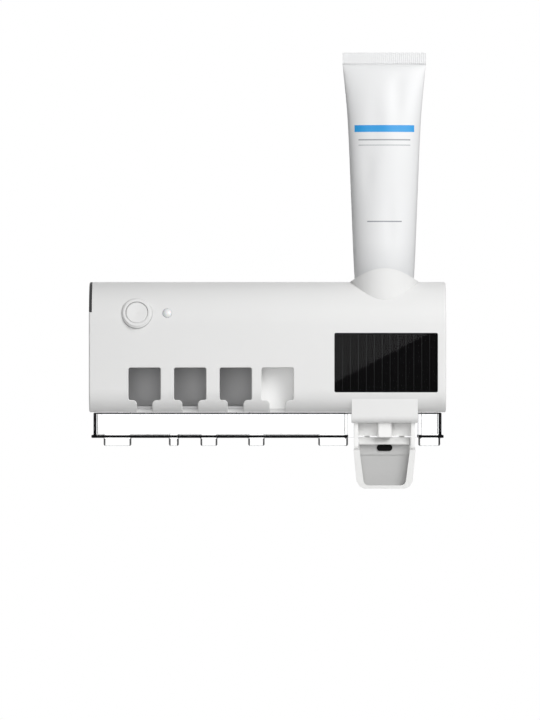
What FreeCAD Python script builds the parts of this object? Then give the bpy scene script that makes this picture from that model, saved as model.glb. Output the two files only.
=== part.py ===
import FreeCAD, Part
import math
import os

V = FreeCAD.Vector
X_AXIS = V(1, 0, 0)
Y_AXIS = V(0, 1, 0)
Z_AXIS = V(0, 0, 1)

# Millimetres. +X to the right, +Y into the wall, +Z up.
# The origin is on the wall, at the middle of the mounting pad.

# Casing
body_width = 268.0
body_height = 98.0
body_depth = 62.0
top_radius = 31.0
bottom_radius = 0.2742 * body_depth
shell_wall = 2.2
rear_wall = 2.2
end_cap_thickness = 3.4
end_cap_edge = 1.2
spigot_length = 3.0
spigot_wall = 1.6
seam = 0.2
moving_gap = 0.3

# Wall mount
pad_thickness = 1.0
pad_margin = 4.0
plate_thickness = 2.0
plate_width = 160.0
plate_height = 60.0
plate_corner = 6.0
stud_spacing = 120.0
stud_height = 18.0
stud_shank_radius = 2.6
stud_head_radius = 4.8
stud_head_thickness = 1.6
hang_gap = 0.3
hang_lift = 12.0
wall_screw_spacing = 80.0
wall_screw_radius = 2.2

# Case screws and their posts
post_inset_x = 12.0
post_inset_z = 8.0
post_radius = 3.2
screw_radius = 1.2
screw_head_radius = 2.6
screw_head_height = 1.6
screw_clearance = 0.05
screw_length = 12.0
rear_rib_height = 2.5
rear_rib_thickness = 1.4
rear_rib_inset = 7.0
rear_rib_drop = 20.0
rear_rib_length = 180.0

# Front slots
slot_width = 0.0896 * body_width
slot_height = 0.248 * body_height
slot_corner = 1.5
slot_edge = 0.5
neck_width = 0.0437 * body_width
neck_height = 0.0939 * body_height
neck_corner = 3.0
neck_depth = 0.3065 * body_depth
first_slot_inset = 0.1556 * body_width
slot_pitch = 0.1276 * body_width
slot_count = 3
last_slot_pitch = 0.1172 * body_width

# Bays behind the slots
bay_wall = 2.0
bay_side_room = 0.0075 * body_width
bay_top_gap = 2.5
bay_back_room = 12.5
shallow_height = 0.4082 * body_height
shallow_depth = 0.3145 * body_depth
drain_width = 3.0
drain_length = 14.0
drain_setback = 0.5806 * body_depth
lamp_hole_radius = 3.0
lamp_size = 3.6
lamp_height = 1.9
lamp_setback = 0.3548 * body_depth
lamp_board_width = 12.0
lamp_board_thickness = 1.6
lamp_board_overhang = 10.0

# Solar panel
solar_width = 0.2884 * body_width
solar_height = 0.451 * body_height
solar_corner = 1.2
solar_inset = 0.1679 * body_width
solar_rise = 0.1551 * body_height
solar_recess = 0.3
solar_glass_thickness = 1.0
carrier_thickness = 2.2
carrier_margin = 2.4
carrier_window = 9.0

# Button, indicator and their board, set square to the curved front
control_rise = 7.5
button_inset = 36.0
ring_radius = 11.5
ring_bore = 8.5
ring_proud = 1.6
ring_bevel = 1.3
ring_skirt_bore = 10.0
ring_flange_radius = 13.0
ring_flange_depth = 5.6
ring_flange_thickness = 1.6
cap_gap = 0.25
cap_proud = 1.3
cap_bevel = 0.7
cap_dish = 0.45
cap_lip = 1.2
cap_lip_depth = 3.6
cap_lip_thickness = 1.4
cap_stem_radius = 2.0
button_travel = 1.2
switch_margin = 0.15
board_depth = 12.5
board_thickness = 1.6
board_height = 19.0
board_left_reach = 20.0
board_right_reach = 36.0
board_post_inset = 3.5
board_post_radius = 2.6
switch_size = 6.0
switch_height = 3.4
switch_nub_radius = 1.7
switch_nub_height = 0.8
indicator_offset = 22.8
lens_radius = 3.4
lens_proud = 1.6
lens_flange = 1.2
lens_flange_thickness = 1.4
lens_flange_depth = 2.7
led_radius = 1.5
led_height = 6.0
chip_size = 8.0
chip_height = 1.4

# Battery
battery_radius = 9.2
battery_length = 65.0
battery_x = -8.0
battery_drop = 19.0
battery_rear_gap = 9.3
cradle_wall = 1.8
cradle_clip = 10.0

# Charge port and its flap
flap_height = 23.0
flap_thickness = 2.2
flap_reach = 29.0
port_width = 9.0
port_thickness = 3.2
port_length = 7.0
port_wall = 0.35
port_drop = 17.0
port_setback = 18.0
port_board_width = 14.0
port_board_length = 11.0
port_board_thickness = 1.2

# Tube collar
dispenser_inset = 46.0
collar_radius = 25.5
collar_wall = 2.2
collar_rise = 10.25
collar_lip = 0.4
collar_depth = 0.3776 * body_height
collar_flange = 2.0
collar_flange_thickness = 2.0
seat_thickness = 2.2
seat_radius = 16.3

# Refill tube
tube_radius = 20.0
tube_waist_half = 22.9
tube_waist_rise = 44.0
tube_mid_half = 24.9
tube_mid_rise = 92.0
tube_high_half = 27.7
tube_high_rise = 156.0
tube_length = 197.0
crimp_height = 8.6
crimp_thickness = 1.4
shoulder_height = 8.0
neck_radius = 7.0
neck_length = 12.0
neck_bore = 4.0

# Pump
seal_wall = 5.8
seal_height = 12.0
cup_wall = 2.8
cup_floor = 8.0
cup_depth = 18.0
barrel_radius = 0.1935 * body_depth
barrel_rear_gap = 2.5
chamber_radius = 0.146 * body_depth
chamber_roof = 4.0
piston_gap = 0.05
groove_height = 1.8
groove_depth = 1.2
rod_radius = 3.0
rod_gap = 0.05
foot_radius = 0.0968 * body_depth
foot_thickness = 2.0
base_thickness = 3.0
inlet_radius = 2.0
valve_gap = 0.55
valve_radius = 3.0
valve_thickness = 0.8
duct_radius = 4.5
duct_bore = 2.2
duct_drop = 2.0

# Outlet nozzle
nozzle_width = 10.8
nozzle_depth = 0.1403 * body_depth
nozzle_corner = 1.6
nozzle_block_height = 21.0
nozzle_drop = 18.6
nozzle_pipe_radius = 0.414 * nozzle_depth
lip_valve_radius = 3.1
lip_valve_thickness = 1.2
slit_width = 0.5
slit_length = 3.4

# Hood over the mouth
hood_width = 49.5
hood_wall = 1.6
hood_setback = 1.5
hood_drop = 8.0
hood_radius = 5.0
hood_length = 20.5
mouth_rear = 12.0

# Dispenser frame
cheek_thickness = 3.0
cheek_gap = 0.25
cheek_drop = 28.0
cheek_corner = 3.0
flange_thickness = 2.2
flange_margin = 4.85
flange_rear_margin = 3.0
panel_thickness = 2.0
panel_drop = 17.8
pump_screw_margin = 2.45

# Push lever
hub_clearance = 2.2
pivot_drop = 5.0
pin_radius = 1.5
pin_gap = 0.05
pin_press = 0.02
hub_radius = 4.0
lever_side_gap = 0.4
lever_drop = 57.5
lever_plate = 3.0
lever_rim_depth = 8.0
lever_width_top = 46.4
lever_width_bottom = 41.0
lever_corner = 7.5
dish_width_top = 39.2
dish_width_bottom = 31.0
dish_corner = 4.0
dish_floor_rim = 2.6
ledge_height = 5.2
ledge_depth = 5.0
crease_drop = 32.0
crease_step = 0.7
arm_spread = 13.0
arm_width = 4.0
arm_depth = 6.0
crank_width = 10.0
crank_drop = 6.0
nose_radius = 2.5
pad_width = 11.7
pad_height = 4.8
pad_proud = 0.8
pad_sink = 1.2
pad_drop = 26.7

# Return spring
spring_wire = 0.8
spring_radius = 0.071 * body_depth
spring_turns = 3
spring_seat = 0.05

# Drip tray
tray_inset = 1.4
tray_gap = 0.5
tray_height = 18.9
tray_wall = 2.2
tray_setback = 21.0
tray_rear_gap = 5.0
tray_lip = 6.0
tray_lip_corner = 1.5
tray_mouth_left = 27.4
tray_mouth_right = 25.5
tray_ledge = 1.6
tongue_width = 10.0
tongue_height = 4.3
left_teeth = ((0.048, 0.156), (0.302, 0.341), (0.425, 0.491), (0.611, 0.675), (0.884, 1.0))
right_teeth = ((0.0, 0.86),)
left_tongues = (0.124, 0.59)
right_tongues = (0.424,)

# Places that several pieces share
half_width = body_width / 2
half_height = body_height / 2
front_y = -body_depth
rear_y = -(pad_thickness + plate_thickness + hang_gap)
inner_rear_y = rear_y - rear_wall
shell_half = half_width - end_cap_thickness
floor_z = -half_height + shell_wall
top_arc_y = front_y + top_radius
top_arc_z = half_height - top_radius
bottom_arc_y = front_y + bottom_radius
bottom_arc_z = -half_height + bottom_radius
slot_bottom = -half_height + neck_height
slot_top = slot_bottom + slot_height
neck_end_y = front_y + neck_depth
slot_centres = [-half_width + first_slot_inset + i * slot_pitch for i in range(slot_count)]
last_slot = slot_centres[-1] + last_slot_pitch
dispenser_x = half_width - dispenser_inset
solar_x = half_width - solar_inset
solar_z = -half_height + solar_rise + solar_height / 2
button_x = -half_width + button_inset
indicator_x = button_x + indicator_offset
control_height = top_arc_z + control_rise
bay_ceiling = control_height - ring_flange_radius - bay_top_gap - bay_wall
collar_y = inner_rear_y - collar_radius
collar_bore = collar_radius - collar_wall
collar_bottom = half_height - collar_depth
barrel_y = inner_rear_y - barrel_rear_gap - barrel_radius
flange_top = floor_z + flange_thickness
cup_bottom = collar_bottom - cup_depth - cup_floor
chamber_top = cup_bottom - chamber_roof
chamber_height = chamber_top - flange_top
piston_rest = 0.4 * chamber_height
piston_height = 0.3 * chamber_height
inlet_offset = chamber_radius - valve_radius - valve_gap
cup_bore = neck_radius + moving_gap + seal_wall
cup_radius = cup_bore + cup_wall
shoulder_z = collar_bottom + seat_thickness + moving_gap + 2.0
hood_front = front_y + hood_setback
hood_bottom = -half_height - hood_drop
hood_inner = hood_width / 2 - hood_wall
mouth_front = hood_front + hood_radius + 0.6
mouth_rear_y = inner_rear_y - mouth_rear + barrel_rear_gap + moving_gap + shell_wall
cheek_outer = hood_inner - cheek_gap
cheek_inner = cheek_outer - cheek_thickness
panel_y = mouth_front + nozzle_depth
panel_rear = panel_y + panel_thickness
pivot_y = panel_rear + hub_radius + hub_clearance
pivot_z = -half_height - pivot_drop
nozzle_bottom = -half_height - nozzle_drop
lever_half = cheek_inner - lever_side_gap
plate_front = panel_y
plate_rear = plate_front + lever_plate
lever_bottom = -half_height - lever_drop
cheek_bottom = -half_height - cheek_drop
panel_bottom = -half_height - panel_drop
ledge_top = nozzle_bottom - moving_gap
rim_front = plate_front - lever_rim_depth
nose_z = pivot_z - crank_drop
foot_bottom = nose_z + nose_radius + moving_gap
foot_top = foot_bottom + foot_thickness
tray_top = -half_height - tray_gap
tray_bottom = tray_top - tray_height
tray_front = front_y + tray_setback
tray_rear = inner_rear_y - tray_rear_gap + shell_wall
tray_half = half_width - tray_inset
tray_mouth_x0 = dispenser_x - tray_mouth_left
tray_mouth_x1 = dispenser_x + tray_mouth_right
flap_bottom = half_height - flap_height
flap_rear = front_y + flap_reach


# Building blocks


def box(x0, x1, y0, y1, z0, z1):
    return Part.makeBox(x1 - x0, y1 - y0, z1 - z0, V(x0, y0, z0))


def rod(radius, start, axis, length):
    return Part.makeCylinder(radius, length, start, axis)


def pipe(outer, inner, start, axis, length):
    return rod(outer, start, axis, length).cut(rod(inner, start, axis, length))


def polygon(points):
    return Part.Face(Part.makePolygon(points + points[:1]))


def side_prism(points, x0, x1):
    """A plate with its outline given as (y, z) points, from x0 to x1."""
    return polygon([V(x0, y, z) for y, z in points]).extrude(V(x1 - x0, 0, 0))


def rounded_plate(x0, x1, y0, y1, z0, z1, radius):
    """A plate square to Y with rounded corners."""
    plate = box(x0, x1, y0, y1, z0, z1)
    upright = [e for e in plate.Edges if abs(e.Vertexes[0].Y - e.Vertexes[-1].Y) > 0.5 * (y1 - y0)]
    return plate.makeFillet(radius, upright)


def rounded_block(x0, x1, y0, y1, z0, z1, radius):
    """A block with its four upright edges rounded."""
    block = box(x0, x1, y0, y1, z0, z1)
    upright = [e for e in block.Edges if abs(e.Vertexes[0].Z - e.Vertexes[-1].Z) > 0.5 * (z1 - z0)]
    return block.makeFillet(radius, upright)


def revolve(points):
    """A solid of revolution about Z, from its outline as (radius, z) points."""
    return polygon([V(r, 0, z) for r, z in points]).revolve(V(0, 0, 0), Z_AXIS, 360)


def casing_face(inset, rear):
    """The casing's section in the YZ plane, drawn in by an inset."""
    turn = math.sqrt(0.5)
    top = half_height - inset
    front = front_y + inset
    r_top = top_radius - inset
    r_low = bottom_radius - inset
    corner = [V(0, rear, top), V(0, top_arc_y, top), V(0, front, top_arc_z)]
    corner += [V(0, front, bottom_arc_z), V(0, bottom_arc_y, -top), V(0, rear, -top)]
    high_mid = V(0, top_arc_y - r_top * turn, top_arc_z + r_top * turn)
    low_mid = V(0, bottom_arc_y - r_low * turn, bottom_arc_z - r_low * turn)
    edges = [Part.LineSegment(corner[0], corner[1]), Part.Arc(corner[1], high_mid, corner[2])]
    edges += [Part.LineSegment(corner[2], corner[3]), Part.Arc(corner[3], low_mid, corner[4])]
    edges += [Part.LineSegment(corner[4], corner[5]), Part.LineSegment(corner[5], corner[0])]
    return Part.Face(Part.Wire([e.toShape() for e in edges]))


def casing_prism(inset, rear, x0, x1):
    face = casing_face(inset, rear)
    face.translate(V(x0, 0, 0))
    return face.extrude(V(x1 - x0, 0, 0))


def slot_shape(centre, grow, y0, y1, z_low):
    """A T-shaped slot, with a rounded window above a neck that runs down to z_low."""
    half = slot_width / 2 + grow
    neck = neck_width / 2 + grow
    low = slot_bottom - grow
    window = rounded_plate(centre - half, centre + half, y0, y1, low, slot_top + grow, slot_corner)
    stem = box(centre - neck, centre + neck, y0, y1, z_low, slot_bottom + slot_corner)
    shape = window.fuse(stem).removeSplitter()
    inner = [e for e in shape.Edges if is_neck_corner(e, centre, neck, low)]
    return shape.makeFillet(neck_corner, inner)


def is_neck_corner(edge, centre, neck, level):
    ends = edge.Vertexes
    if len(ends) != 2 or abs(ends[0].Y - ends[1].Y) < 1.0:
        return False
    return abs(abs(ends[0].X - centre) - neck) < 0.01 and abs(ends[0].Z - level) < 0.01


def on_curve(shape, x, height):
    """Stand a shape made round Z on the curved front, square to it."""
    lift = math.asin((height - top_arc_z) / top_radius)
    out = V(0, -math.cos(lift), math.sin(lift))
    foot = V(x, top_arc_y, top_arc_z) + out * top_radius
    placed = shape.copy()
    placed.Placement = FreeCAD.Placement(foot, FreeCAD.Rotation(Z_AXIS, out))
    return placed


def screw_along(start, axis, length):
    """A pan-head screw: its head stands back from start, its shank runs along the axis."""
    head = rod(screw_head_radius, start - axis * screw_head_height, axis, screw_head_height)
    return head.fuse(rod(screw_radius, start, axis, length))


# Wall mount


def stud_places():
    return [side * stud_spacing / 2 for side in (-1, 1)]


def wall_screw_places():
    return [side * wall_screw_spacing / 2 for side in (-1, 1)]


def make_wall_plate():
    w = plate_width / 2
    h = plate_height / 2
    plate = rounded_plate(-w, w, -pad_thickness - plate_thickness, -pad_thickness, -h, h, plate_corner)
    head_y = inner_rear_y - hang_gap - stud_head_thickness
    for x in stud_places():
        base = V(x, -pad_thickness - plate_thickness, stud_height)
        plate = plate.fuse(rod(stud_shank_radius, base, -Y_AXIS, base.y - head_y))
        plate = plate.fuse(rod(stud_head_radius, V(x, head_y, stud_height), Y_AXIS, stud_head_thickness))
    for x in wall_screw_places():
        plate = plate.cut(rod(wall_screw_radius, V(x, -body_depth, 0), Y_AXIS, body_depth))
    return plate


def make_adhesive_pad():
    w = plate_width / 2 - pad_margin
    h = plate_height / 2 - pad_margin
    pad = rounded_plate(-w, w, -pad_thickness, 0, -h, h, plate_corner)
    for x in wall_screw_places():
        pad = pad.cut(rod(wall_screw_radius * 2, V(x, -body_depth, 0), Y_AXIS, body_depth))
    return pad


# Casing


def post_places():
    x = half_width - post_inset_x
    z = half_height - post_inset_z
    return [V(sx * x, inner_rear_y, sz * z) for sx in (-1, 1) for sz in (-1, 1)]


def board_post_places():
    return [button_x - board_left_reach + board_post_inset, button_x + board_right_reach - board_post_inset]


def pump_screw_places():
    x = hood_inner + pump_screw_margin
    ys = (barrel_y - barrel_radius - pump_screw_margin, barrel_y + barrel_radius / 2)
    return [V(dispenser_x + side * x, y, flange_top + base_thickness) for side in (-1, 1) for y in ys]


def hood_prism(x_half, inset):
    """The hood's block: a flat front, a rounded lower edge and square sides."""
    turn = math.sqrt(0.5)
    front = hood_front + inset
    low = hood_bottom + inset
    r = hood_radius - inset
    back = hood_front + hood_length
    top = bottom_arc_z - hood_setback
    mid = V(0, front + r - r * turn, low + r - r * turn)
    pts = [V(0, front, top), V(0, front, low + r), V(0, front + r, low), V(0, back, low), V(0, back, top)]
    edges = [Part.LineSegment(pts[0], pts[1]), Part.Arc(pts[1], mid, pts[2])]
    edges += [Part.LineSegment(pts[2], pts[3]), Part.LineSegment(pts[3], pts[4])]
    edges += [Part.LineSegment(pts[4], pts[0])]
    face = Part.Face(Part.Wire([e.toShape() for e in edges]))
    face.translate(V(dispenser_x - x_half, 0, 0))
    return face.extrude(V(2 * x_half, 0, 0))


def mouth_cut():
    """The space inside the hood and the opening in the casing's floor behind it."""
    inside = hood_prism(hood_inner, hood_wall)
    low = hood_bottom - hood_drop
    x0 = dispenser_x - hood_inner
    x1 = dispenser_x + hood_inner
    down = box(x0, x1, hood_front + hood_radius, mouth_rear_y, low, floor_z + seam)
    return inside.fuse(down)


def make_front_shell():
    shell = casing_prism(0, rear_y, -shell_half, shell_half)
    shell = shell.fuse(hood_prism(hood_width / 2, 0))
    shell = shell.cut(casing_prism(shell_wall, rear_y, -shell_half, shell_half))
    shell = shell.cut(mouth_cut())
    outer = casing_prism(shell_wall / 2, rear_y, -shell_half, shell_half)
    for place in post_places():
        post = rod(post_radius, place, -Y_AXIS, body_depth).common(outer)
        pilot = rod(screw_radius + screw_clearance, place, -Y_AXIS, screw_length)
        shell = shell.fuse(post.cut(pilot))
    for x in board_post_places():
        post = rod(board_post_radius, V(0, 0, -board_depth), Z_AXIS, board_depth - shell_wall / 2)
        pilot = rod(screw_radius + screw_clearance, V(0, 0, -board_depth), Z_AXIS, board_depth / 2)
        shell = shell.fuse(on_curve(post.cut(pilot), x, control_height))
    for centre in slot_centres + [last_slot]:
        shell = shell.cut(slot_shape(centre, 0, front_y - 1, neck_end_y, -half_height - 1))
    shell = shell.makeChamfer(slot_edge, [e for e in shell.Edges if is_slot_rim(e)])
    shell = shell.cut(solar_plate(front_y - 1, front_y + shell_wall + 1, seam))
    hole = rod(ring_radius + seam, V(0, 0, -ring_radius), Z_AXIS, 2 * ring_radius)
    shell = shell.cut(on_curve(hole, button_x, control_height))
    hole = rod(lens_radius + seam, V(0, 0, -2 * lens_radius), Z_AXIS, 4 * lens_radius)
    shell = shell.cut(on_curve(hole, indicator_x, control_height))
    start = V(dispenser_x, collar_y, collar_bottom)
    shell = shell.cut(rod(collar_radius + seam, start, Z_AXIS, body_height))
    for place in pump_screw_places():
        shell = shell.cut(rod(screw_radius + screw_clearance, place, -Z_AXIS, pump_screw_length() + seam))
    for centre in slot_centres:
        shell = shell.cut(drain_slot(centre))
    for x in tongue_centres():
        shell = shell.cut(tongue_at(x, moving_gap))
    return shell.removeSplitter()


def is_slot_rim(edge):
    """Whether an edge runs round a slot on the flat of the front."""
    if len(edge.Vertexes) != 2 or any(abs(v.Y - front_y) > 0.01 for v in edge.Vertexes):
        return False
    levels = [v.Z for v in edge.Vertexes]
    beside = all(v.X < last_slot + slot_width for v in edge.Vertexes)
    return beside and max(levels) < slot_top + 0.01 and max(levels) > bottom_arc_z + 1


def pump_screw_length():
    return base_thickness + flange_thickness + 0.7 * shell_wall


def drain_slot(centre):
    y = front_y + drain_setback
    x0 = centre - drain_length / 2
    return box(x0, x0 + drain_length, y, y + drain_width, -half_height - 1, floor_z + bay_wall + 1)


def make_rear_cover():
    w = shell_half - seam
    h = half_height - shell_wall - seam
    cover = box(-w, w, inner_rear_y, rear_y, -h, h)
    x = rear_rib_length / 2
    for z in (half_height - rear_rib_inset, -rear_rib_drop):
        rib = box(-x, dispenser_x - collar_radius - seam, inner_rear_y - rear_rib_height, inner_rear_y, z,
                  z + rear_rib_thickness)
        cover = cover.fuse(rib)
    reach = 2 * rear_wall
    low = stud_height - hang_lift
    for x in stud_places():
        start = V(x, inner_rear_y - 0.5, low)
        cover = cover.cut(rod(stud_head_radius + 2 * moving_gap, start, Y_AXIS, reach))
        half = stud_shank_radius + moving_gap
        cover = cover.cut(box(x - half, x + half, start.y, start.y + reach, low, stud_height))
        cover = cover.cut(rod(half, V(x, start.y, stud_height), Y_AXIS, reach))
    for place in post_places():
        cover = cover.cut(rod(screw_radius + seam, place, Y_AXIS, reach))
    return cover


def make_case_screws():
    length = rear_wall + screw_length - 1.0
    screws = []
    for place in post_places():
        start = V(place.x, rear_y, place.z)
        screws.append(screw_along(start, -Y_AXIS, length))
    return Part.makeCompound(screws)


def end_cap_blank(side):
    """The outer plate of an end cap, with a rounded outer edge."""
    x_in = side * shell_half
    x_out = side * half_width
    blank = casing_prism(0, rear_y, min(x_in, x_out), max(x_in, x_out))
    rim = [e for e in blank.Edges if all(abs(v.X - x_out) < 0.01 and v.Y < rear_y - 1 for v in e.Vertexes)]
    return blank.makeFillet(end_cap_edge, rim)


def end_cap_spigot(side):
    """A lip that locates the cap inside the shell's top and floor."""
    rear = inner_rear_y - spigot_wall
    x_in = side * shell_half
    x_far = x_in - side * spigot_length
    x0, x1 = min(x_in, x_far), max(x_in, x_far)
    lip = casing_prism(shell_wall + seam, rear, x0, x1)
    lip = lip.cut(casing_prism(shell_wall + seam + spigot_wall, rear, x0, x1))
    gap_low = bottom_arc_z - bottom_radius / 2
    return lip.cut(box(x0, x1, front_y, rear + 1, gap_low, top_arc_z))


def flap_pocket(gap):
    x0 = -half_width - 1
    x1 = -half_width + flap_thickness - gap
    return box(x0, x1, front_y - 1, flap_rear - gap, flap_bottom + gap, half_height + 1)


def port_section(grow, x0, x1):
    """A flat bar with round ends, the section of the charge port, along X."""
    half = port_thickness / 2 + grow
    y = front_y + port_setback
    z = half_height - port_drop
    reach = port_width / 2 - port_thickness / 2
    bar = box(x0, x1, y - reach, y + reach, z - half, z + half)
    for side in (-1, 1):
        bar = bar.fuse(rod(half, V(x0, y + side * reach, z), X_AXIS, x1 - x0))
    return bar.removeSplitter()


def make_left_end_cap():
    cap = end_cap_blank(-1).fuse(end_cap_spigot(-1)).cut(flap_pocket(0))
    return cap.cut(port_section(seam, -half_width, -half_width + port_length))


def make_right_end_cap():
    return end_cap_blank(1).fuse(end_cap_spigot(1))


def make_port_cover():
    return end_cap_blank(-1).common(flap_pocket(moving_gap))


def make_charge_port():
    x0 = -half_width + flap_thickness + seam
    shell = port_section(0, x0, x0 + port_length)
    mouth = port_section(-port_wall, x0, x0 + port_length - 1.5)
    y = front_y + port_setback
    z = half_height - port_drop
    tongue_half = port_width / 2 - port_thickness
    x1 = x0 + port_length - 1
    tongue = box(x0 + port_wall, x1, y - tongue_half, y + tongue_half, z - port_wall, z + port_wall)
    return shell.cut(mouth).fuse(tongue)


def make_port_board():
    y = front_y + port_setback
    top = half_height - port_drop - port_thickness / 2
    half = port_board_width / 2
    x0 = -shell_half
    return box(x0, x0 + port_board_length, y - half, y + half, top - port_board_thickness, top)


# Bays


def bay_outer(x0, x1, y1, z1):
    """A block that fills the casing's front between two walls, as large as the shell lets it be."""
    inside = casing_prism(shell_wall + seam, rear_y, x0, x1)
    return inside.common(box(x0, x1, front_y, y1, -half_height, z1))


def bay_inner(x0, x1, y1, z1):
    inside = casing_prism(shell_wall + seam + bay_wall, rear_y, x0, x1)
    low = floor_z + seam + bay_wall
    hollow = inside.common(box(x0, x1, front_y, y1, -half_height, z1))
    mouth = box(x0, x1, front_y, bottom_arc_y, bottom_arc_z, z1)
    return hollow.fuse(mouth).fuse(box(x0, x1, bottom_arc_y, y1, low, z1))


def liner_edges():
    room = slot_width / 2 + bay_side_room + bay_wall
    return slot_centres[0] - room, slot_centres[-1] + room


def liner_back():
    return inner_rear_y - bay_back_room


def make_bay_liner():
    x0, x1 = liner_edges()
    ceiling = bay_ceiling
    back = liner_back()
    liner = bay_outer(x0, x1, back, ceiling + bay_wall)
    walls = [x0 + bay_wall / 2]
    walls += [c + slot_pitch / 2 for c in slot_centres[:-1]]
    walls += [x1 - bay_wall / 2]
    for left, right in zip(walls[:-1], walls[1:]):
        liner = liner.cut(bay_inner(left + bay_wall / 2, right - bay_wall / 2, back - bay_wall, ceiling))
    for centre in slot_centres:
        liner = liner.cut(slot_shape(centre, seam, front_y - 1, neck_end_y, -half_height - 1))
        liner = liner.cut(drain_slot(centre))
        top = V(centre, lamp_y(), ceiling - 1)
        liner = liner.cut(rod(lamp_hole_radius, top, Z_AXIS, bay_wall + 2))
    return liner.removeSplitter()


def lamp_y():
    return front_y + lamp_setback


def make_shallow_bay():
    room = slot_width / 2 + seam + bay_wall
    x0 = last_slot - room
    x1 = last_slot + room
    back = front_y + shallow_depth + bay_wall
    top = -half_height + shallow_height
    bay = bay_outer(x0, x1, back, top)
    bay = bay.cut(bay_inner(x0 + bay_wall, x1 - bay_wall, back - bay_wall, top - bay_wall))
    return bay.cut(slot_shape(last_slot, seam, front_y - 1, neck_end_y, -half_height - 1)).removeSplitter()


def make_uv_board():
    x0 = slot_centres[0] - lamp_board_overhang
    x1 = slot_centres[-1] + lamp_board_overhang
    z = bay_ceiling + bay_wall
    half = lamp_board_width / 2
    return box(x0, x1, lamp_y() - half, lamp_y() + half, z, z + lamp_board_thickness)


def make_uv_lamps():
    z = bay_ceiling + bay_wall
    half = lamp_size / 2
    lamps = []
    for c in slot_centres:
        base = box(c - half, c + half, lamp_y() - half, lamp_y() + half, z - lamp_height / 2, z)
        lens = rod(half * 0.8, V(c, lamp_y(), z - lamp_height), Z_AXIS, lamp_height / 2)
        lamps.append(base.fuse(lens))
    return Part.makeCompound(lamps)


# Solar panel


def solar_plate(y0, y1, grow):
    w = solar_width / 2 + grow
    h = solar_height / 2 + grow
    return rounded_plate(solar_x - w, solar_x + w, y0, y1, solar_z - h, solar_z + h, solar_corner)


def make_solar_glass():
    y0 = front_y + solar_recess
    return solar_plate(y0, y0 + solar_glass_thickness, 0)


def make_solar_cell():
    return solar_plate(front_y + solar_recess + solar_glass_thickness, front_y + shell_wall, 0)


def make_panel_carrier():
    y0 = front_y + shell_wall
    frame = solar_plate(y0, y0 + carrier_thickness, carrier_margin)
    frame = frame.cut(solar_plate(y0 - 1, y0 + carrier_thickness + 1, -carrier_window))
    return frame.common(casing_prism(shell_wall, rear_y, -shell_half, shell_half))


# Button, indicator and control board


def make_button_ring():
    bottom = -ring_flange_depth - ring_flange_thickness
    step = -cap_lip_depth + seam
    outline = [(ring_bore, ring_proud), (ring_radius - ring_bevel, ring_proud)]
    outline += [(ring_radius, ring_proud - ring_bevel)]
    outline += [(ring_radius, -ring_flange_depth), (ring_flange_radius, -ring_flange_depth)]
    outline += [(ring_flange_radius, bottom), (ring_skirt_bore, bottom)]
    outline += [(ring_skirt_bore, step), (ring_bore, step)]
    return on_curve(revolve(outline), button_x, control_height)


def switch_top():
    return -board_depth + switch_height + switch_nub_height


def make_button_cap():
    r = ring_bore - cap_gap
    lip = r + cap_lip
    lip_low = -cap_lip_depth - cap_lip_thickness
    stem_low = switch_top() + button_travel + switch_margin
    outline = [(0, cap_proud - cap_dish), (r - cap_bevel - cap_dish, cap_proud), (r - cap_bevel, cap_proud)]
    outline += [(r, cap_proud - cap_bevel), (r, -cap_lip_depth), (lip, -cap_lip_depth), (lip, lip_low)]
    outline += [(cap_stem_radius, lip_low), (cap_stem_radius, stem_low), (0, stem_low)]
    return on_curve(revolve(outline), button_x, control_height)


def board_block(x0, x1, v0, v1, low, high):
    """A block on the tilted control board, with x across, v up the slope and heights square to it."""
    return on_curve(box(x0 - button_x, x1 - button_x, v0, v1, low, high), button_x, control_height)


def make_control_board():
    half = board_height / 2
    x0 = button_x - board_left_reach
    x1 = button_x + board_right_reach
    under = -board_depth - board_thickness
    board = board_block(x0, x1, -half, half, under, -board_depth)
    for step in (0, 1.6, 3.2):
        left = button_x - chip_size / 2 + step * chip_size
        half_chip = chip_size / 2
        chip = board_block(left, left + chip_size, -half_chip, half_chip, under - chip_height, under)
        board = board.fuse(chip)
    for x in board_post_places():
        hole = rod(screw_radius + seam, V(0, 0, -2 * board_depth), Z_AXIS, 2 * board_depth)
        board = board.cut(on_curve(hole, x, control_height))
    return board


def make_board_screws():
    under = -board_depth - board_thickness
    start = V(0, 0, under)
    screw = screw_along(start, Z_AXIS, board_thickness + 4.0)
    return Part.makeCompound([on_curve(screw, x, control_height) for x in board_post_places()])


def make_tact_switch():
    half = switch_size / 2
    body = box(-half, half, -half, half, -board_depth, -board_depth + switch_height)
    nub = rod(switch_nub_radius, V(0, 0, -board_depth + switch_height), Z_AXIS, switch_nub_height)
    return on_curve(body.fuse(nub), button_x, control_height)


def dome(radius, height, base):
    """A spherical cap of a given radius and height, standing on a base level."""
    ball = (radius * radius + height * height) / (2 * height)
    sphere = Part.makeSphere(ball, V(0, 0, base + height - ball))
    return sphere.common(rod(radius, V(0, 0, base), Z_AXIS, height + 1))


def make_indicator_lens():
    low = -lens_flange_depth - lens_flange_thickness
    stem = rod(lens_radius, V(0, 0, low), Z_AXIS, -low)
    flange = rod(lens_radius + lens_flange, V(0, 0, low), Z_AXIS, lens_flange_thickness)
    lens = stem.fuse(flange).fuse(dome(lens_radius, lens_proud, 0)).removeSplitter()
    return on_curve(lens, indicator_x, control_height)


def make_indicator_led():
    base = -board_depth
    body = rod(led_radius, V(0, 0, base), Z_AXIS, led_height - led_radius)
    tip = Part.makeSphere(led_radius, V(0, 0, base + led_height - led_radius))
    return on_curve(body.fuse(tip).removeSplitter(), indicator_x, control_height)


def battery_axis():
    y = inner_rear_y - battery_rear_gap - battery_radius
    return V(battery_x - battery_length / 2, y, half_height - battery_drop)


def make_battery():
    start = battery_axis()
    cell = rod(battery_radius, start, X_AXIS, battery_length - 1.5)
    return cell.fuse(rod(battery_radius / 3, start, X_AXIS, battery_length))


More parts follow.
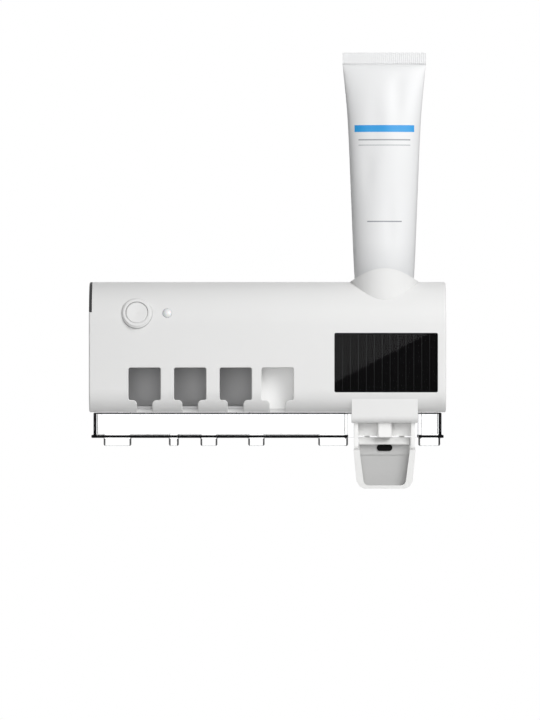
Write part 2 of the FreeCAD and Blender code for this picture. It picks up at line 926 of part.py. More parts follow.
def make_battery_cradle():
    start = battery_axis()
    end_x = start.x + battery_length
    outer = battery_radius + seam + cradle_wall
    base = box(start.x, end_x, inner_rear_y - cradle_wall, inner_rear_y, start.z - outer, start.z + outer)
    cradle = base
    for x in (start.x, end_x - cradle_clip - 3.0):
        clip = rod(outer, V(x, start.y, start.z), X_AXIS, cradle_clip)
        web = box(x, x + cradle_clip, start.y, inner_rear_y, start.z - outer / 2, start.z + outer / 2)
        y = start.y - outer / 3
        mouth = box(x - 1, x + cradle_clip + 1, y - 2 * outer, y, start.z - outer, start.z + outer)
        cradle = cradle.fuse(clip.fuse(web).cut(mouth))
    hollow = rod(battery_radius + seam, V(start.x - 1, start.y, start.z), X_AXIS, battery_length + 2)
    return cradle.cut(hollow).removeSplitter()


# Tube collar and refill


def collar_rim_cutter():
    """What is cut off above the collar: level behind its axis, sweeping up to the front in one arc."""
    flush = half_height + collar_lip
    rise = collar_rise - collar_lip
    sweep = (collar_radius ** 2 + rise ** 2) / (2 * rise)
    reach = 1.1 * collar_radius
    angle = math.asin(reach / sweep)
    far = V(0, collar_y - reach, flush + sweep - sweep * math.cos(angle))
    mid = V(0, collar_y - sweep * math.sin(angle / 2), flush + sweep - sweep * math.cos(angle / 2))
    near = V(0, collar_y, flush)
    top = half_height + 2 * sweep
    pts = [V(0, 0, flush), V(0, 0, top), V(0, far.y, top)]
    edges = [Part.Arc(near, mid, far), Part.LineSegment(far, pts[2]), Part.LineSegment(pts[2], pts[1])]
    edges += [Part.LineSegment(pts[1], pts[0]), Part.LineSegment(pts[0], near)]
    face = Part.Face(Part.Wire([e.toShape() for e in edges]))
    face.translate(V(dispenser_x - body_depth, 0, 0))
    return face.extrude(V(2 * body_depth, 0, 0))


def make_tube_collar():
    start = V(dispenser_x, collar_y, collar_bottom)
    tall = collar_depth + 2 * collar_rise
    sleeve = pipe(collar_radius, collar_bore, start, Z_AXIS, tall).cut(collar_rim_cutter())
    seat = pipe(collar_bore + collar_wall / 2, seat_radius, start, Z_AXIS, seat_thickness)
    under = V(dispenser_x, collar_y, half_height - shell_wall - seam - collar_flange_thickness)
    wide = collar_radius + collar_flange
    ring = pipe(wide, collar_radius - collar_wall / 2, under, Z_AXIS, collar_flange_thickness)
    room = casing_prism(shell_wall + seam, inner_rear_y - seam, -shell_half, shell_half)
    return sleeve.fuse(seat).fuse(ring.common(room)).removeSplitter()


def oval(a, b, z):
    """A four-centre oval round the tube's axis, a wide across X and b deep along Y."""
    centre = V(dispenser_x, collar_y, z)
    end_r = b * b / a
    if abs(a - b) < 0.001:
        turn = math.acos(0.8)
        flat_r = a
    else:
        spread = ((a - end_r) ** 2 + (b - end_r) ** 2) / (2 * (b - end_r))
        turn = math.acos((a - end_r) / spread)
        flat_r = end_r + spread
    joint = V(a - end_r + end_r * math.cos(turn), end_r * math.sin(turn), 0)
    signs = [(1, -1), (1, 1), (-1, 1), (-1, -1)]
    corners = [centre + V(sx * joint.x, sy * joint.y, 0) for sx, sy in signs]
    middles = [centre + V(a, 0, 0), centre + V(0, b, 0), centre + V(-a, 0, 0), centre + V(0, -b, 0)]
    arcs = [Part.Arc(corners[i], middles[i], corners[(i + 1) % 4]).toShape() for i in range(4)]
    return Part.Wire(arcs)


def flattened(a):
    """The depth of an oval of half-width a whose girth is that of the round tube."""
    full = tube_radius * math.pi / 2
    share = (full - a) / (full - tube_radius)
    return crimp_thickness / 2 + (tube_radius - crimp_thickness / 2) * share ** 0.62


def make_paste_tube():
    crimp_half = tube_radius * math.pi / 2
    top = shoulder_z + tube_length
    widths = [(tube_radius, 0), (tube_waist_half, tube_waist_rise), (tube_mid_half, tube_mid_rise)]
    widths += [(tube_high_half, tube_high_rise)]
    sections = [oval(a, flattened(a), shoulder_z + rise) for a, rise in widths]
    sections.append(oval(crimp_half, crimp_thickness, top))
    body = Part.makeLoft(sections, True, False)
    half = crimp_thickness / 2
    x0 = dispenser_x - crimp_half
    crimp = box(x0, x0 + 2 * crimp_half, collar_y - half, collar_y + half, top - 1, top + crimp_height)
    return body.fuse(crimp)


def make_tube_shoulder():
    low = shoulder_z - shoulder_height
    outline = [(tube_radius, shoulder_z), (neck_radius, low), (neck_radius, low - neck_length)]
    outline += [(neck_bore, low - neck_length), (neck_bore, shoulder_z)]
    shape = revolve(outline)
    shape.translate(V(dispenser_x, collar_y, 0))
    return shape


# Pump


def make_inlet_seal():
    low = collar_bottom - cup_depth
    inner = neck_radius + moving_gap
    start = V(dispenser_x, collar_y, low)
    return pipe(cup_bore - screw_clearance, inner, start, Z_AXIS, seal_height)


def make_pump_body():
    cup = rod(cup_radius, V(dispenser_x, collar_y, cup_bottom), Z_AXIS, collar_bottom - cup_bottom)
    barrel = rod(barrel_radius, V(dispenser_x, barrel_y, flange_top), Z_AXIS, cup_bottom + 1 - flange_top)
    half = hood_inner + flange_margin
    ys = [p.y for p in pump_screw_places()]
    x0 = dispenser_x - half
    y0 = min(ys) - flange_rear_margin
    y1 = barrel_y + barrel_radius
    base = box(x0, x0 + 2 * half, y0, y1, flange_top, flange_top + base_thickness)
    duct_z = outlet_level()
    duct = rod(duct_radius, V(dispenser_x, barrel_y, duct_z), -Y_AXIS, barrel_y - panel_y - seam)
    body = cup.fuse(barrel).fuse(base).fuse(duct)
    floor = collar_bottom - cup_depth
    body = body.cut(rod(cup_bore, V(dispenser_x, collar_y, floor), Z_AXIS, cup_depth + 1))
    chamber = V(dispenser_x, barrel_y, flange_top)
    body = body.cut(rod(chamber_radius, chamber, Z_AXIS, chamber_height))
    inlet = V(dispenser_x, barrel_y - inlet_offset, chamber_top - 1)
    body = body.cut(rod(inlet_radius, inlet, Z_AXIS, floor - chamber_top + 2))
    body = body.cut(rod(duct_bore, V(dispenser_x, barrel_y, duct_z), -Y_AXIS, body_depth))
    for place in pump_screw_places():
        body = body.cut(rod(screw_radius + seam, place + Z_AXIS, -Z_AXIS, base_thickness + 1))
    return body.removeSplitter()


def outlet_level():
    return chamber_top - duct_drop


def make_pump_screws():
    length = pump_screw_length()
    return Part.makeCompound([screw_along(p, -Z_AXIS, length) for p in pump_screw_places()])


def make_inlet_valve():
    start = V(dispenser_x, barrel_y - inlet_offset, chamber_top - valve_thickness)
    return rod(valve_radius, start, Z_AXIS, valve_thickness)


def piston_low():
    return flange_top + piston_rest


def make_pump_plunger():
    axis = V(dispenser_x, barrel_y, foot_bottom)
    foot = rod(foot_radius, axis, Z_AXIS, foot_thickness)
    stem = rod(rod_radius, axis, Z_AXIS, piston_low() - foot_bottom + 1)
    piston = rod(chamber_radius - piston_gap, V(axis.x, axis.y, piston_low()), Z_AXIS, piston_height)
    return foot.fuse(stem).fuse(piston).cut(piston_groove())


def piston_groove():
    r = chamber_radius - piston_gap
    z = piston_low() + (piston_height - groove_height) / 2
    return pipe(r + 1, r - groove_depth, V(dispenser_x, barrel_y, z), Z_AXIS, groove_height)


def make_piston_ring():
    r = chamber_radius - piston_gap
    gap = screw_clearance
    z = piston_low() + (piston_height - groove_height) / 2 + gap
    start = V(dispenser_x, barrel_y, z)
    return pipe(r, r - groove_depth + gap, start, Z_AXIS, groove_height - 2 * gap)


def biarc(p0, t0, p1, t1):
    """Two arcs that join two points, with the given directions at the ends."""
    v = p1 - p0
    t = t0 + t1
    a = 2 * (1 - t0.dot(t1))
    b = v.dot(t)
    d = (-b + math.sqrt(b * b + a * v.dot(v))) / a
    joint = (p0 + t0 * d + p1 - t1 * d) * 0.5
    return [arc_from(p0, t0, joint), arc_from(p1, -t1, joint, True)]


def arc_from(start, direction, end, backwards=False):
    """The arc that leaves start along a direction and reaches end."""
    chord = end - start
    side = chord - direction * chord.dot(direction)
    side.normalize()
    angle = math.atan2(chord.dot(side), chord.dot(direction))
    length = chord.Length / (2 * math.cos(angle / 2))
    half = V(direction * math.cos(angle / 2) + side * math.sin(angle / 2))
    mid = start + half * length
    if backwards:
        return Part.Arc(end, mid, start).toShape()
    return Part.Arc(start, mid, end).toShape()


def make_return_spring():
    low = foot_top + spring_seat + spring_wire / 2
    high = floor_z - spring_seat - spring_wire / 2
    slope = (high - low) / (2 * math.pi * spring_turns)
    centre = V(dispenser_x, barrel_y, low)
    points = []
    ways = []
    for i in range(2 * spring_turns + 1):
        a = i * math.pi
        points.append(centre + V(spring_radius * math.cos(a), spring_radius * math.sin(a), slope * a))
        way = V(-spring_radius * math.sin(a), spring_radius * math.cos(a), slope)
        way.normalize()
        ways.append(way)
    arcs = []
    for i in range(2 * spring_turns):
        arcs += biarc(points[i], ways[i], points[i + 1], ways[i + 1])
    print("spring: least gap between turns %.2f mm" % turn_gap(arcs))
    section = Part.Wire(Part.makeCircle(spring_wire / 2, points[0], ways[0]))
    return Part.Wire(arcs).makePipeShell([section], True, False)


def turn_gap(arcs):
    """The least gap between wires of neighbouring turns, measured on points along the coil."""
    marks = [p for arc in arcs for p in arc.discretize(17)[:-1]]
    turn = len(marks) // spring_turns
    pairs = [(p, q) for i, p in enumerate(marks) for q in marks[i + turn // 2:]]
    return min(p.distanceToPoint(q) for p, q in pairs) - spring_wire


def make_outlet_nozzle():
    x0 = dispenser_x - nozzle_width / 2
    y0 = mouth_front
    y1 = panel_y - seam
    block = rounded_block(x0, x0 + nozzle_width, y0, y1, nozzle_bottom, nozzle_bottom + nozzle_block_height,
                          nozzle_corner)
    y = (y0 + y1) / 2
    top = outlet_level() + duct_radius
    pipe_start = V(dispenser_x, y, nozzle_bottom + nozzle_block_height - 1)
    nozzle = block.fuse(rod(nozzle_pipe_radius, pipe_start, Z_AXIS, top - pipe_start.z))
    nozzle = nozzle.fuse(rod(duct_bore + 1, V(dispenser_x, y, outlet_level()), Y_AXIS, y1 - y))
    mouth = V(dispenser_x, y, nozzle_bottom)
    nozzle = nozzle.cut(rod(duct_bore, mouth, Z_AXIS, outlet_level() - nozzle_bottom))
    nozzle = nozzle.cut(rod(duct_bore, V(dispenser_x, y, outlet_level()), Y_AXIS, body_depth))
    pocket = rod(lip_valve_radius + screw_clearance, mouth, Z_AXIS, lip_valve_thickness)
    return nozzle.cut(pocket).removeSplitter()


def make_outlet_valve():
    y = (mouth_front + panel_y - seam) / 2
    disc = rod(lip_valve_radius, V(dispenser_x, y, nozzle_bottom), Z_AXIS, lip_valve_thickness)
    x0 = dispenser_x - slit_length / 2
    y0 = y - slit_width / 2
    top = nozzle_bottom + lip_valve_thickness
    slit = box(x0, x0 + slit_length, y0, y0 + slit_width, nozzle_bottom - 1, top + 1)
    return disc.cut(slit)


# Dispenser frame and push lever


def make_dispenser_frame():
    half = hood_inner + flange_margin
    y1 = mouth_rear_y + flange_rear_margin
    y0 = bottom_arc_y + seam
    flange = box(dispenser_x - half, dispenser_x + half, y0, y1, floor_z, flange_top)
    rear = pivot_y + 2.5 * hub_radius
    cheek = [(rear, floor_z), (mouth_front, floor_z), (mouth_front, cheek_bottom)]
    cheek += [(panel_rear, cheek_bottom)]
    cheek += [(rear - hub_radius, pivot_z - hub_radius), (rear, pivot_z + hub_radius / 2)]
    frame = flange
    for side in (-1, 1):
        xs = sorted((dispenser_x + side * cheek_inner, dispenser_x + side * cheek_outer))
        plate = side_prism(cheek, xs[0], xs[1])
        toe = V(0, mouth_front, cheek_bottom)
        corner = [e for e in plate.Edges if all(V(0, v.Y, v.Z).isEqual(toe, 0.01) for v in e.Vertexes)]
        frame = frame.fuse(plate.makeFillet(cheek_corner, corner))
    x0 = dispenser_x - cheek_inner
    frame = frame.fuse(box(x0, x0 + 2 * cheek_inner, panel_y, panel_rear, panel_bottom, floor_z))
    pin = V(dispenser_x - body_depth, pivot_y, pivot_z)
    frame = frame.cut(rod(pin_radius + pin_press, pin, X_AXIS, 2 * body_depth))
    guide = V(dispenser_x, barrel_y, floor_z - 1)
    frame = frame.cut(rod(rod_radius + rod_gap, guide, Z_AXIS, flange_thickness + 2))
    for place in pump_screw_places():
        frame = frame.cut(rod(screw_radius + seam, place, -Z_AXIS, base_thickness + flange_thickness + 1))
    return frame.removeSplitter()


def make_lever_pin():
    return rod(pin_radius, V(dispenser_x - cheek_outer, pivot_y, pivot_z), X_AXIS, 2 * cheek_outer)


def scoop_face(top_half, bottom_half, corner, top, bottom, y):
    """A tapered outline, rounded at its two lower corners, in the plane at y."""
    lean = math.atan2(top_half - bottom_half, top - bottom)
    tangent = corner * math.tan((math.pi / 2 - lean) / 2)
    foot = bottom_half - tangent
    side = V(bottom_half + tangent * math.sin(lean), 0, bottom + tangent * math.cos(lean))
    centre = V(foot, 0, bottom + corner)
    bisect = math.pi / 4 + lean / 2
    mid = centre + V(math.sin(bisect), 0, -math.cos(bisect)) * corner
    shift = V(dispenser_x, y, 0)

    def at(point, sign):
        return V(sign * point.x, 0, point.z) + shift

    tip = V(top_half, 0, top)
    toe = V(foot, 0, bottom)
    edges = [Part.LineSegment(at(tip, 1), at(side, 1)), Part.Arc(at(side, 1), at(mid, 1), at(toe, 1))]
    edges += [Part.LineSegment(at(toe, 1), at(toe, -1)), Part.Arc(at(toe, -1), at(mid, -1), at(side, -1))]
    edges += [Part.LineSegment(at(side, -1), at(tip, -1)), Part.LineSegment(at(tip, -1), at(tip, 1))]
    return Part.Face(Part.Wire([e.toShape() for e in edges]))


def make_push_lever():
    shoulder = cheek_bottom - moving_gap
    wide = lever_width_top / 2
    narrow = lever_width_bottom / 2
    outer = scoop_face(wide, narrow, lever_corner, shoulder, lever_bottom, rim_front)
    scoop = outer.extrude(V(0, plate_rear - rim_front, 0))
    dish_top = cheek_bottom + ledge_height
    dish_low = lever_bottom + dish_floor_rim
    wide = dish_width_top / 2
    narrow = dish_width_bottom / 2
    dish = scoop_face(wide, narrow, dish_corner, dish_top, dish_low, rim_front - 1)
    scoop = scoop.cut(dish.extrude(V(0, lever_rim_depth + 1, 0)))
    x0 = dispenser_x - lever_half
    x1 = dispenser_x + lever_half
    upper = box(x0, x1, plate_front, plate_rear, shoulder - 1, ledge_top)
    ledge_low = ledge_top - ledge_height
    lip = [(plate_front + 1, ledge_top), (plate_front, ledge_top), (plate_front - ledge_depth, ledge_low)]
    lip += [(plate_front + 1, ledge_low)]
    ledge = side_prism(lip, x0, x1)
    crease_z = -half_height - crease_drop
    step = box(x0, x1, plate_front - crease_step, plate_front + 1, crease_z, ledge_low)
    inside = dish.extrude(V(0, lever_rim_depth + 2, 0))
    lever = scoop.fuse(upper).fuse(ledge).fuse(step.common(inside))
    for side in (-1, 1):
        x0 = dispenser_x + side * arm_spread - arm_width / 2
        near = pivot_y - hub_radius + 0.5
        arm = [(near, pivot_z), (plate_rear - 0.3, panel_bottom), (plate_rear - 0.3, crease_z)]
        arm += [(plate_rear + arm_depth / 2, crease_z), (near + arm_depth, pivot_z)]
        lever = lever.fuse(side_prism(arm, x0, x0 + arm_width))
    hub_start = V(dispenser_x - lever_half, pivot_y, pivot_z)
    lever = lever.fuse(rod(hub_radius, hub_start, X_AXIS, 2 * lever_half))
    crank_x = dispenser_x - crank_width / 2
    under_foot = nose_z + nose_radius / 2
    crank = [(pivot_y, pivot_z), (pivot_y + 2 * hub_radius, under_foot), (barrel_y, under_foot)]
    crank += [(barrel_y, nose_z - nose_radius + 0.2), (pivot_y, pivot_z - hub_radius + 0.5)]
    lever = lever.fuse(side_prism(crank, crank_x, crank_x + crank_width))
    lever = lever.fuse(rod(nose_radius, V(crank_x, barrel_y, nose_z), X_AXIS, crank_width))
    bore = V(dispenser_x - body_depth, pivot_y, pivot_z)
    lever = lever.cut(rod(pin_radius + pin_gap, bore, X_AXIS, 2 * body_depth))
    return lever.cut(pad_shape(pad_pocket_y(), screw_clearance)).removeSplitter()


def pad_pocket_y():
    return plate_front - crease_step + pad_sink


def pad_shape(y1, grow):
    """A flat pill on the lever's face, standing a little proud of it."""
    z = -half_height - pad_drop
    half = pad_height / 2 + grow
    y0 = plate_front - crease_step - pad_proud
    reach = pad_width / 2 - pad_height / 2
    pill = box(dispenser_x - reach, dispenser_x + reach, y0, y1, z - half, z + half)
    for side in (-1, 1):
        pill = pill.fuse(rod(half, V(dispenser_x + side * reach, y0, z), Y_AXIS, y1 - y0))
    return pill.removeSplitter()


def make_press_pad():
    return pad_shape(pad_pocket_y(), 0)


# Drip tray


def along_left(share):
    """A place along the tray's left basin, from its outer end to the mouth."""
    return -tray_half + share * (tray_mouth_x0 + tray_half)


def along_right(share):
    """A place along the tray's right basin, from the mouth to its outer end."""
    return tray_mouth_x1 + share * (tray_half - tray_mouth_x1)


def tongue_centres():
    return [along_left(share) for share in left_tongues] + [along_right(share) for share in right_tongues]


def tongue_at(x, grow):
    half = tongue_width / 2 + grow
    y1 = tray_rear + grow
    y0 = tray_rear - tray_wall - grow
    return box(x - half, x + half, y0, y1, tray_top - tray_wall, tray_top + tongue_height + grow)


def basin(x0, x1):
    block = box(x0, x1, tray_front, tray_rear, tray_bottom, tray_top)
    hollow = box(x0 + tray_wall, x1 - tray_wall, tray_front + tray_wall, tray_rear - tray_wall,
                 tray_bottom + tray_wall, tray_top + tray_wall)
    return block.cut(hollow)


def tooth(x0, x1):
    """A clear tab that hangs from the tray's front edge, with rounded lower corners."""
    y1 = tray_front + tray_wall
    low = tray_bottom - tray_lip
    tab = rounded_plate(x0, x1, tray_front, y1, low, tray_bottom + tray_wall, tray_lip_corner)
    upper = box(x0, x1, tray_front, y1, tray_bottom + tray_wall / 2, tray_bottom + tray_wall)
    return tab.cut(upper)


def make_drip_tray():
    tray = basin(-tray_half + tray_ledge, tray_mouth_x0)
    tray = tray.fuse(basin(tray_mouth_x1, tray_half - tray_ledge))
    back = tray_rear - tray_wall
    x0 = tray_mouth_x0 - tray_wall
    x1 = tray_mouth_x1 + tray_wall
    tray = tray.fuse(box(x0, x1, back, tray_rear, tray_bottom, tray_top))
    for x0, x1 in ((-tray_half, tray_mouth_x0), (tray_mouth_x1, tray_half)):
        tray = tray.fuse(box(x0, x1, tray_front, tray_rear, tray_bottom, tray_bottom + tray_wall))
    for near, far in left_teeth:
        tray = tray.fuse(tooth(along_left(near), along_left(far)))
    for near, far in right_teeth:
        tray = tray.fuse(tooth(along_right(near), along_right(far)))
    for x in tongue_centres():
        tray = tray.fuse(tongue_at(x, 0))
    return tray.removeSplitter()


PIECES = {
    "wall_plate": make_wall_plate,
    "adhesive_pad": make_adhesive_pad,
    "front_shell": make_front_shell,
    "rear_cover": make_rear_cover,
    "left_end_cap": make_left_end_cap,
    "right_end_cap": make_right_end_cap,
    "case_screws": make_case_screws,
    "port_cover": make_port_cover,
    "charge_port": make_charge_port,
    "port_board": make_port_board,
    "bay_liner": make_bay_liner,
    "shallow_bay": make_shallow_bay,
    "uv_board": make_uv_board,
    "uv_lamps": make_uv_lamps,
    "solar_glass": make_solar_glass,
    "solar_cell": make_solar_cell,
    "panel_carrier": make_panel_carrier,
    "button_ring": make_button_ring,
    "button_cap": make_button_cap,
    "tact_switch": make_tact_switch,
    "indicator_lens": make_indicator_lens,
    "indicator_led": make_indicator_led,
    "control_board": make_control_board,
    "board_screws": make_board_screws,
    "battery": make_battery,
    "battery_cradle": make_battery_cradle,
    "tube_collar": make_tube_collar,
    "inlet_seal": make_inlet_seal,
    "pump_body": make_pump_body,
    "pump_screws": make_pump_screws,
    "inlet_valve": make_inlet_valve,
    "pump_plunger": make_pump_plunger,
    "piston_ring": make_piston_ring,
    "return_spring": make_return_spring,
    "outlet_nozzle": make_outlet_nozzle,
    "outlet_valve": make_outlet_valve,
    "dispenser_frame": make_dispenser_frame,
    "lever_pin": make_lever_pin,
    "push_lever": make_push_lever,
    "press_pad": make_press_pad,
    "paste_tube": make_paste_tube,
    "tube_shoulder": make_tube_shoulder,
    "drip_tray": make_drip_tray,
}

os.makedirs("parts", exist_ok=True)
for node, make in PIECES.items():
    make().exportStep("parts/" + node + ".step")
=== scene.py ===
import math

import bmesh
import bpy
from bpy.props import FloatProperty, FloatVectorProperty, IntProperty, PointerProperty
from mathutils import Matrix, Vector


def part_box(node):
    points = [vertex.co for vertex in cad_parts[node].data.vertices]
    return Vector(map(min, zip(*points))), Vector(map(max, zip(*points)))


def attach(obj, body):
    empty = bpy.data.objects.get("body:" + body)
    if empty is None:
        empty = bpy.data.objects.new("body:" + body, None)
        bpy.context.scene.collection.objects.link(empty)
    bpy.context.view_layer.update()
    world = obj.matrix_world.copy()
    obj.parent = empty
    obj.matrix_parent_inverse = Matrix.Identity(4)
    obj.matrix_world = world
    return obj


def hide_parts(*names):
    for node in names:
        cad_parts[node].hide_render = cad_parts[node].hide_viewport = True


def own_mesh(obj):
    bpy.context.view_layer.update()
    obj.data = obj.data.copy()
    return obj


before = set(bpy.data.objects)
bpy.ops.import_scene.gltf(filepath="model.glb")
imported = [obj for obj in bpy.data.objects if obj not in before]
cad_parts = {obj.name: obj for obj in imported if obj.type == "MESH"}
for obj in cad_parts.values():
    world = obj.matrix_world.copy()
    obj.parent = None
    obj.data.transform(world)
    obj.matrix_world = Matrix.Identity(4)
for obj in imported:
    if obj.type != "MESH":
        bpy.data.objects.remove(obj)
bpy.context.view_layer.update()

bl_info = {
    "name": "Wall Toothpaste Dispenser Looks",
    "version": (1, 0, 0),
    "blender": (4, 5, 0),
    "location": "3D View > Sidebar > Dispenser",
    "description": "Finishes, soft pieces, light and camera for a wall-hung toothpaste dispenser",
    "category": "Object",
}

tube_low, tube_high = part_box("paste_tube")
cell_low, cell_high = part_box("solar_cell")
tray_low, tray_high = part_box("drip_tray")
lever_low, lever_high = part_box("push_lever")

# Materials
PLASTIC_IOR = 1.49
STEEL = (0.56, 0.57, 0.58)
CLOUD_SCALE = 22.0
HAZE_SCALE = 90.0
GRAIN_STRENGTH = 0.25

# Solar panel: the air behind its glass, and how far a strip is paler than the cell between two lines
GLASS_AIR = 0.0001
STRIP_GAIN = 2.2
STRIP_SHARE = 0.35

# Inside of the lever's scoop, which gets painted shade: half width, upper end, wall below it and depth of the
# rim before it
SCOOP_HALF = 0.0185
SCOOP_TOP = -0.0735
SCOOP_FLOOR = 0.0025
SCOOP_RIM = 0.0006

# Tube: rings, points round each, (height, half width) between its ends, and how it flattens
TUBE_RINGS = 64
TUBE_AROUND = 96
TUBE_STOPS = ((0.044, 0.0229), (0.092, 0.0249), (0.156, 0.0277))
FLATTENING = 0.62

# Dents as (place across from -1 to 1, height above the shoulder, depth), with their reach both ways,
# the tube's half depth below which they fade, and how much of them the back has
DENTS = (
    (0.35, 0.17, 0.0011),
    (-0.5, 0.12, 0.0009),
    (0.2, 0.075, 0.0008),
    (-0.25, 0.15, 0.0007),
    (0.62, 0.1, 0.0007),
)
DENT_ACROSS = 0.22
DENT_TALL = 0.022
DENT_FADE = 0.006
DENT_BACK = 0.4

# Seam: its reach into the tube, the ribs' ends, height and points, and the gap at the top
SEAM_OVERLAP = 0.0004
RIB_END = 0.0012
RIB_HEIGHT = 0.00016
RIB_STEPS = 6
SEAM_TOP_GAP = 0.0002

# Print: half length of the band, and lines as (distance below the band, thickness, half length)
BAND_REACH = 0.0225
PRINT_LINES = ((0.0085, 0.0009, 0.0195), (0.0125, 0.0005, 0.0195), (0.07, 0.0009, 0.013))

# Painted shade on the tube between these heights, where it goes into the collar
COLLAR_SHADE = 0.14
COLLAR_LOW = 0.04
COLLAR_HIGH = 0.062

# Tabs of the tray's lip as (left end, right end), the width and weight of their sides darkened as painted
# shade, and how far a mask stays inside an edge
TABS = (
    (-0.1234, -0.1025),
    (-0.0743, -0.0668),
    (-0.0505, -0.0377),
    (-0.0146, -0.0021),
    (0.0381, 0.0606),
    (0.1135, 0.13),
)
TAB_SIDE = 0.0014
TAB_WEIGHT = 0.9
MASK_INSET = 0.00005

# Picture: its size in pixels, and the pixel at which the frame's origin stands
PICTURE_WIDTH = 540
PICTURE_HEIGHT = 720
ORIGIN_X = 267.5
ORIGIN_Y = 347
SENSOR = 36.0

# Lamps as (diameter, place, target)
KEY_LAMP = (0.9, (0.66, -0.95, 0.62), (0, 0, 0))
FILL_LAMP = (1.0, (-0.1, -1.4, 0.0), (0.05, 0, -0.06))
BACK_LAMP = (1.0, (-0.3, 1.5, 0.15), (0, 0, 0))

# Floor: height, radius and corners
FLOOR_HEIGHT = -0.36
FLOOR_RADIUS = 0.6
FLOOR_CORNERS = 64

# Room: the share of the light that comes from straight below, the heights of a direction between which
# the light grows, and the same for what shiny surfaces mirror
ROOM_BELOW = 0.2
ROOM_RISE = (-1.0, 0.1)
MIRROR_BELOW = 0.05
MIRROR_RISE = (-0.1, 0.3)

# Cards that the panel's glass mirrors, as (name, brightness, depth, outline in pixels of the picture)
CARD_AWAY = 1.0
CARDS = (
    ("grey_card", 0.75, -1.08, ((322, 410), (460, 410), (460, 320), (322, 320))),
    ("dark_card", 0.07, -1.06, ((322, 389), (437, 329), (460, 329), (460, 410), (322, 410))),
)


# Sizes and colours that a user would change


def colour(name, words, default):
    return FloatVectorProperty(
        name=name, description=words, subtype="COLOR", size=3, min=0, max=1, default=default)


def length(name, words, default):
    return FloatProperty(
        name=name, description=words, subtype="DISTANCE", unit="LENGTH", min=0, default=default)


def share(name, words, default):
    return FloatProperty(name=name, description=words, subtype="FACTOR", min=0, max=1, default=default)


def power(name, words, default):
    return FloatProperty(name=name, description=words, min=0, default=default)


class CasingLooks(bpy.types.PropertyGroup):
    """Colours and finish of the mouldings"""

    white: colour("White", "Colour of the casing's mouldings", (0.82, 0.82, 0.815))
    lever: colour("Lever", "Colour of the push lever", (0.8, 0.8, 0.79))
    # Mouth is paler than the casing's white as painted light, for the shade under the hood
    mouth: colour("Mouth", "Colour of the dispenser's frame and nozzle", (0.9, 0.9, 0.89))
    # The scoop's grey is painted shade, for the shade in the recess of the lever's scoop
    scoop: colour("Scoop", "Colour of the duller inside of the lever's scoop", (0.485, 0.485, 0.48))
    plate: colour("Plate", "Colour of the wall plate", (0.8, 0.8, 0.79))
    # Bay is paler than the casing's white as painted light, for the shade inside the bay
    bay: colour("Bay", "Colour of the shallow bay", (0.93, 0.93, 0.925))
    liner: colour("Liner", "Colour of the grey bay liner", (0.6, 0.6, 0.605))
    satin: share("Satin", "Roughness of the casing", 0.34)
    shine: share("Shine", "How strongly the casing reflects", 0.2)
    peel: length("Peel", "Width of the fine grain that moulding leaves", 0.0008)


class PanelLooks(bpy.types.PropertyGroup):
    """The solar panel's cell and its lines"""

    black: colour("Black", "Colour of the cell", (0.006, 0.006, 0.0064))
    line: colour("Line", "Colour of the fine lines", (0.06, 0.06, 0.062))
    cells: IntProperty(name="Cells", description="Strips side by side in the panel", min=1, default=13)
    line_width: length("Line width", "Width of a fine line", 0.0006)


class TubeShape(bpy.types.PropertyGroup):
    """Form and print of the refill tube"""

    round_radius: length("Round radius", "Radius of the tube at its shoulder", 0.02)
    crimp_height: length("Crimp height", "Height of the flat seam at the end", 0.0086)
    crimp_half: length("Crimp half", "Half the thickness of the flat seam", 0.0007)
    rib_pitch: length("Rib pitch", "Distance between the ribs of the seam", 0.0015)
    laminate: colour("Laminate", "Colour of the tube", (0.8, 0.805, 0.81))
    band: colour("Band", "Colour of the plain printed band", (0.02, 0.32, 0.72))
    # Print grey also colours the painted shade where the tube goes into the collar
    print_and_shade_grey: colour("Print grey", "Colour of the thin printed lines", (0.3, 0.31, 0.33))
    band_height: length("Band height", "Height of the band above the shoulder", 0.148)
    band_width: length("Band width", "Width of the band along the tube", 0.0052)


class TrayLooks(bpy.types.PropertyGroup):
    """The clear tray"""

    clear: colour("Clear", "Tint of the clear plastic", (0.97, 0.975, 0.975))
    edge: colour("Edge", "Tint of its cut edges", (0.78, 0.78, 0.79))
    # Dark is painted shade: the tint where the plastic looks dark edge on, and of the rim line
    dark: colour("Dark", "Tint where the plastic is seen edge on", (0.006, 0.006, 0.0065))
    edge_width: length("Edge width", "Width of the softened edges", 0.00045)
    floor_drop: length("Floor drop", "From the lip's lower edge to the floor's underside", 0.006)
    height: length("Height", "From the floor's underside to the rim", 0.0189)
    rim_shade_line: length("Rim line", "Height of the darker line along the rim", 0.0009)
    wall: length("Wall", "Thickness of the floor and walls", 0.0022)
    ledge: length("Ledge", "From the floor's end to the end wall", 0.0016)


class StageLooks(bpy.types.PropertyGroup):
    """Camera, light and floor"""

    millimetres_per_pixel: FloatProperty(
        name="Scale", description="Millimetres for one pixel of the picture", min=0.1, default=0.75)
    distance: length("Distance", "From the camera to the casing's front", 6.0)
    key: power("Key", "Power of the lamp at the upper right", 11.3)
    fill: power("Fill", "Power of the lamp at the front", 4.6)
    ambient: power("Ambient", "Strength of the light from all round", 0.22)
    back: power("Back", "Power of the lamp behind the wall's plane", 14.0)
    floor: colour("Floor", "Colour of the floor", (0.85, 0.85, 0.85))
    floor_lift: share("Floor lift", "How far the floor is paled where it is seen", 0.16)


SETTINGS = {
    "casing_looks": CasingLooks,
    "panel_looks": PanelLooks,
    "tube_shape": TubeShape,
    "tray_looks": TrayLooks,
    "stage_looks": StageLooks,
}


# Nodes


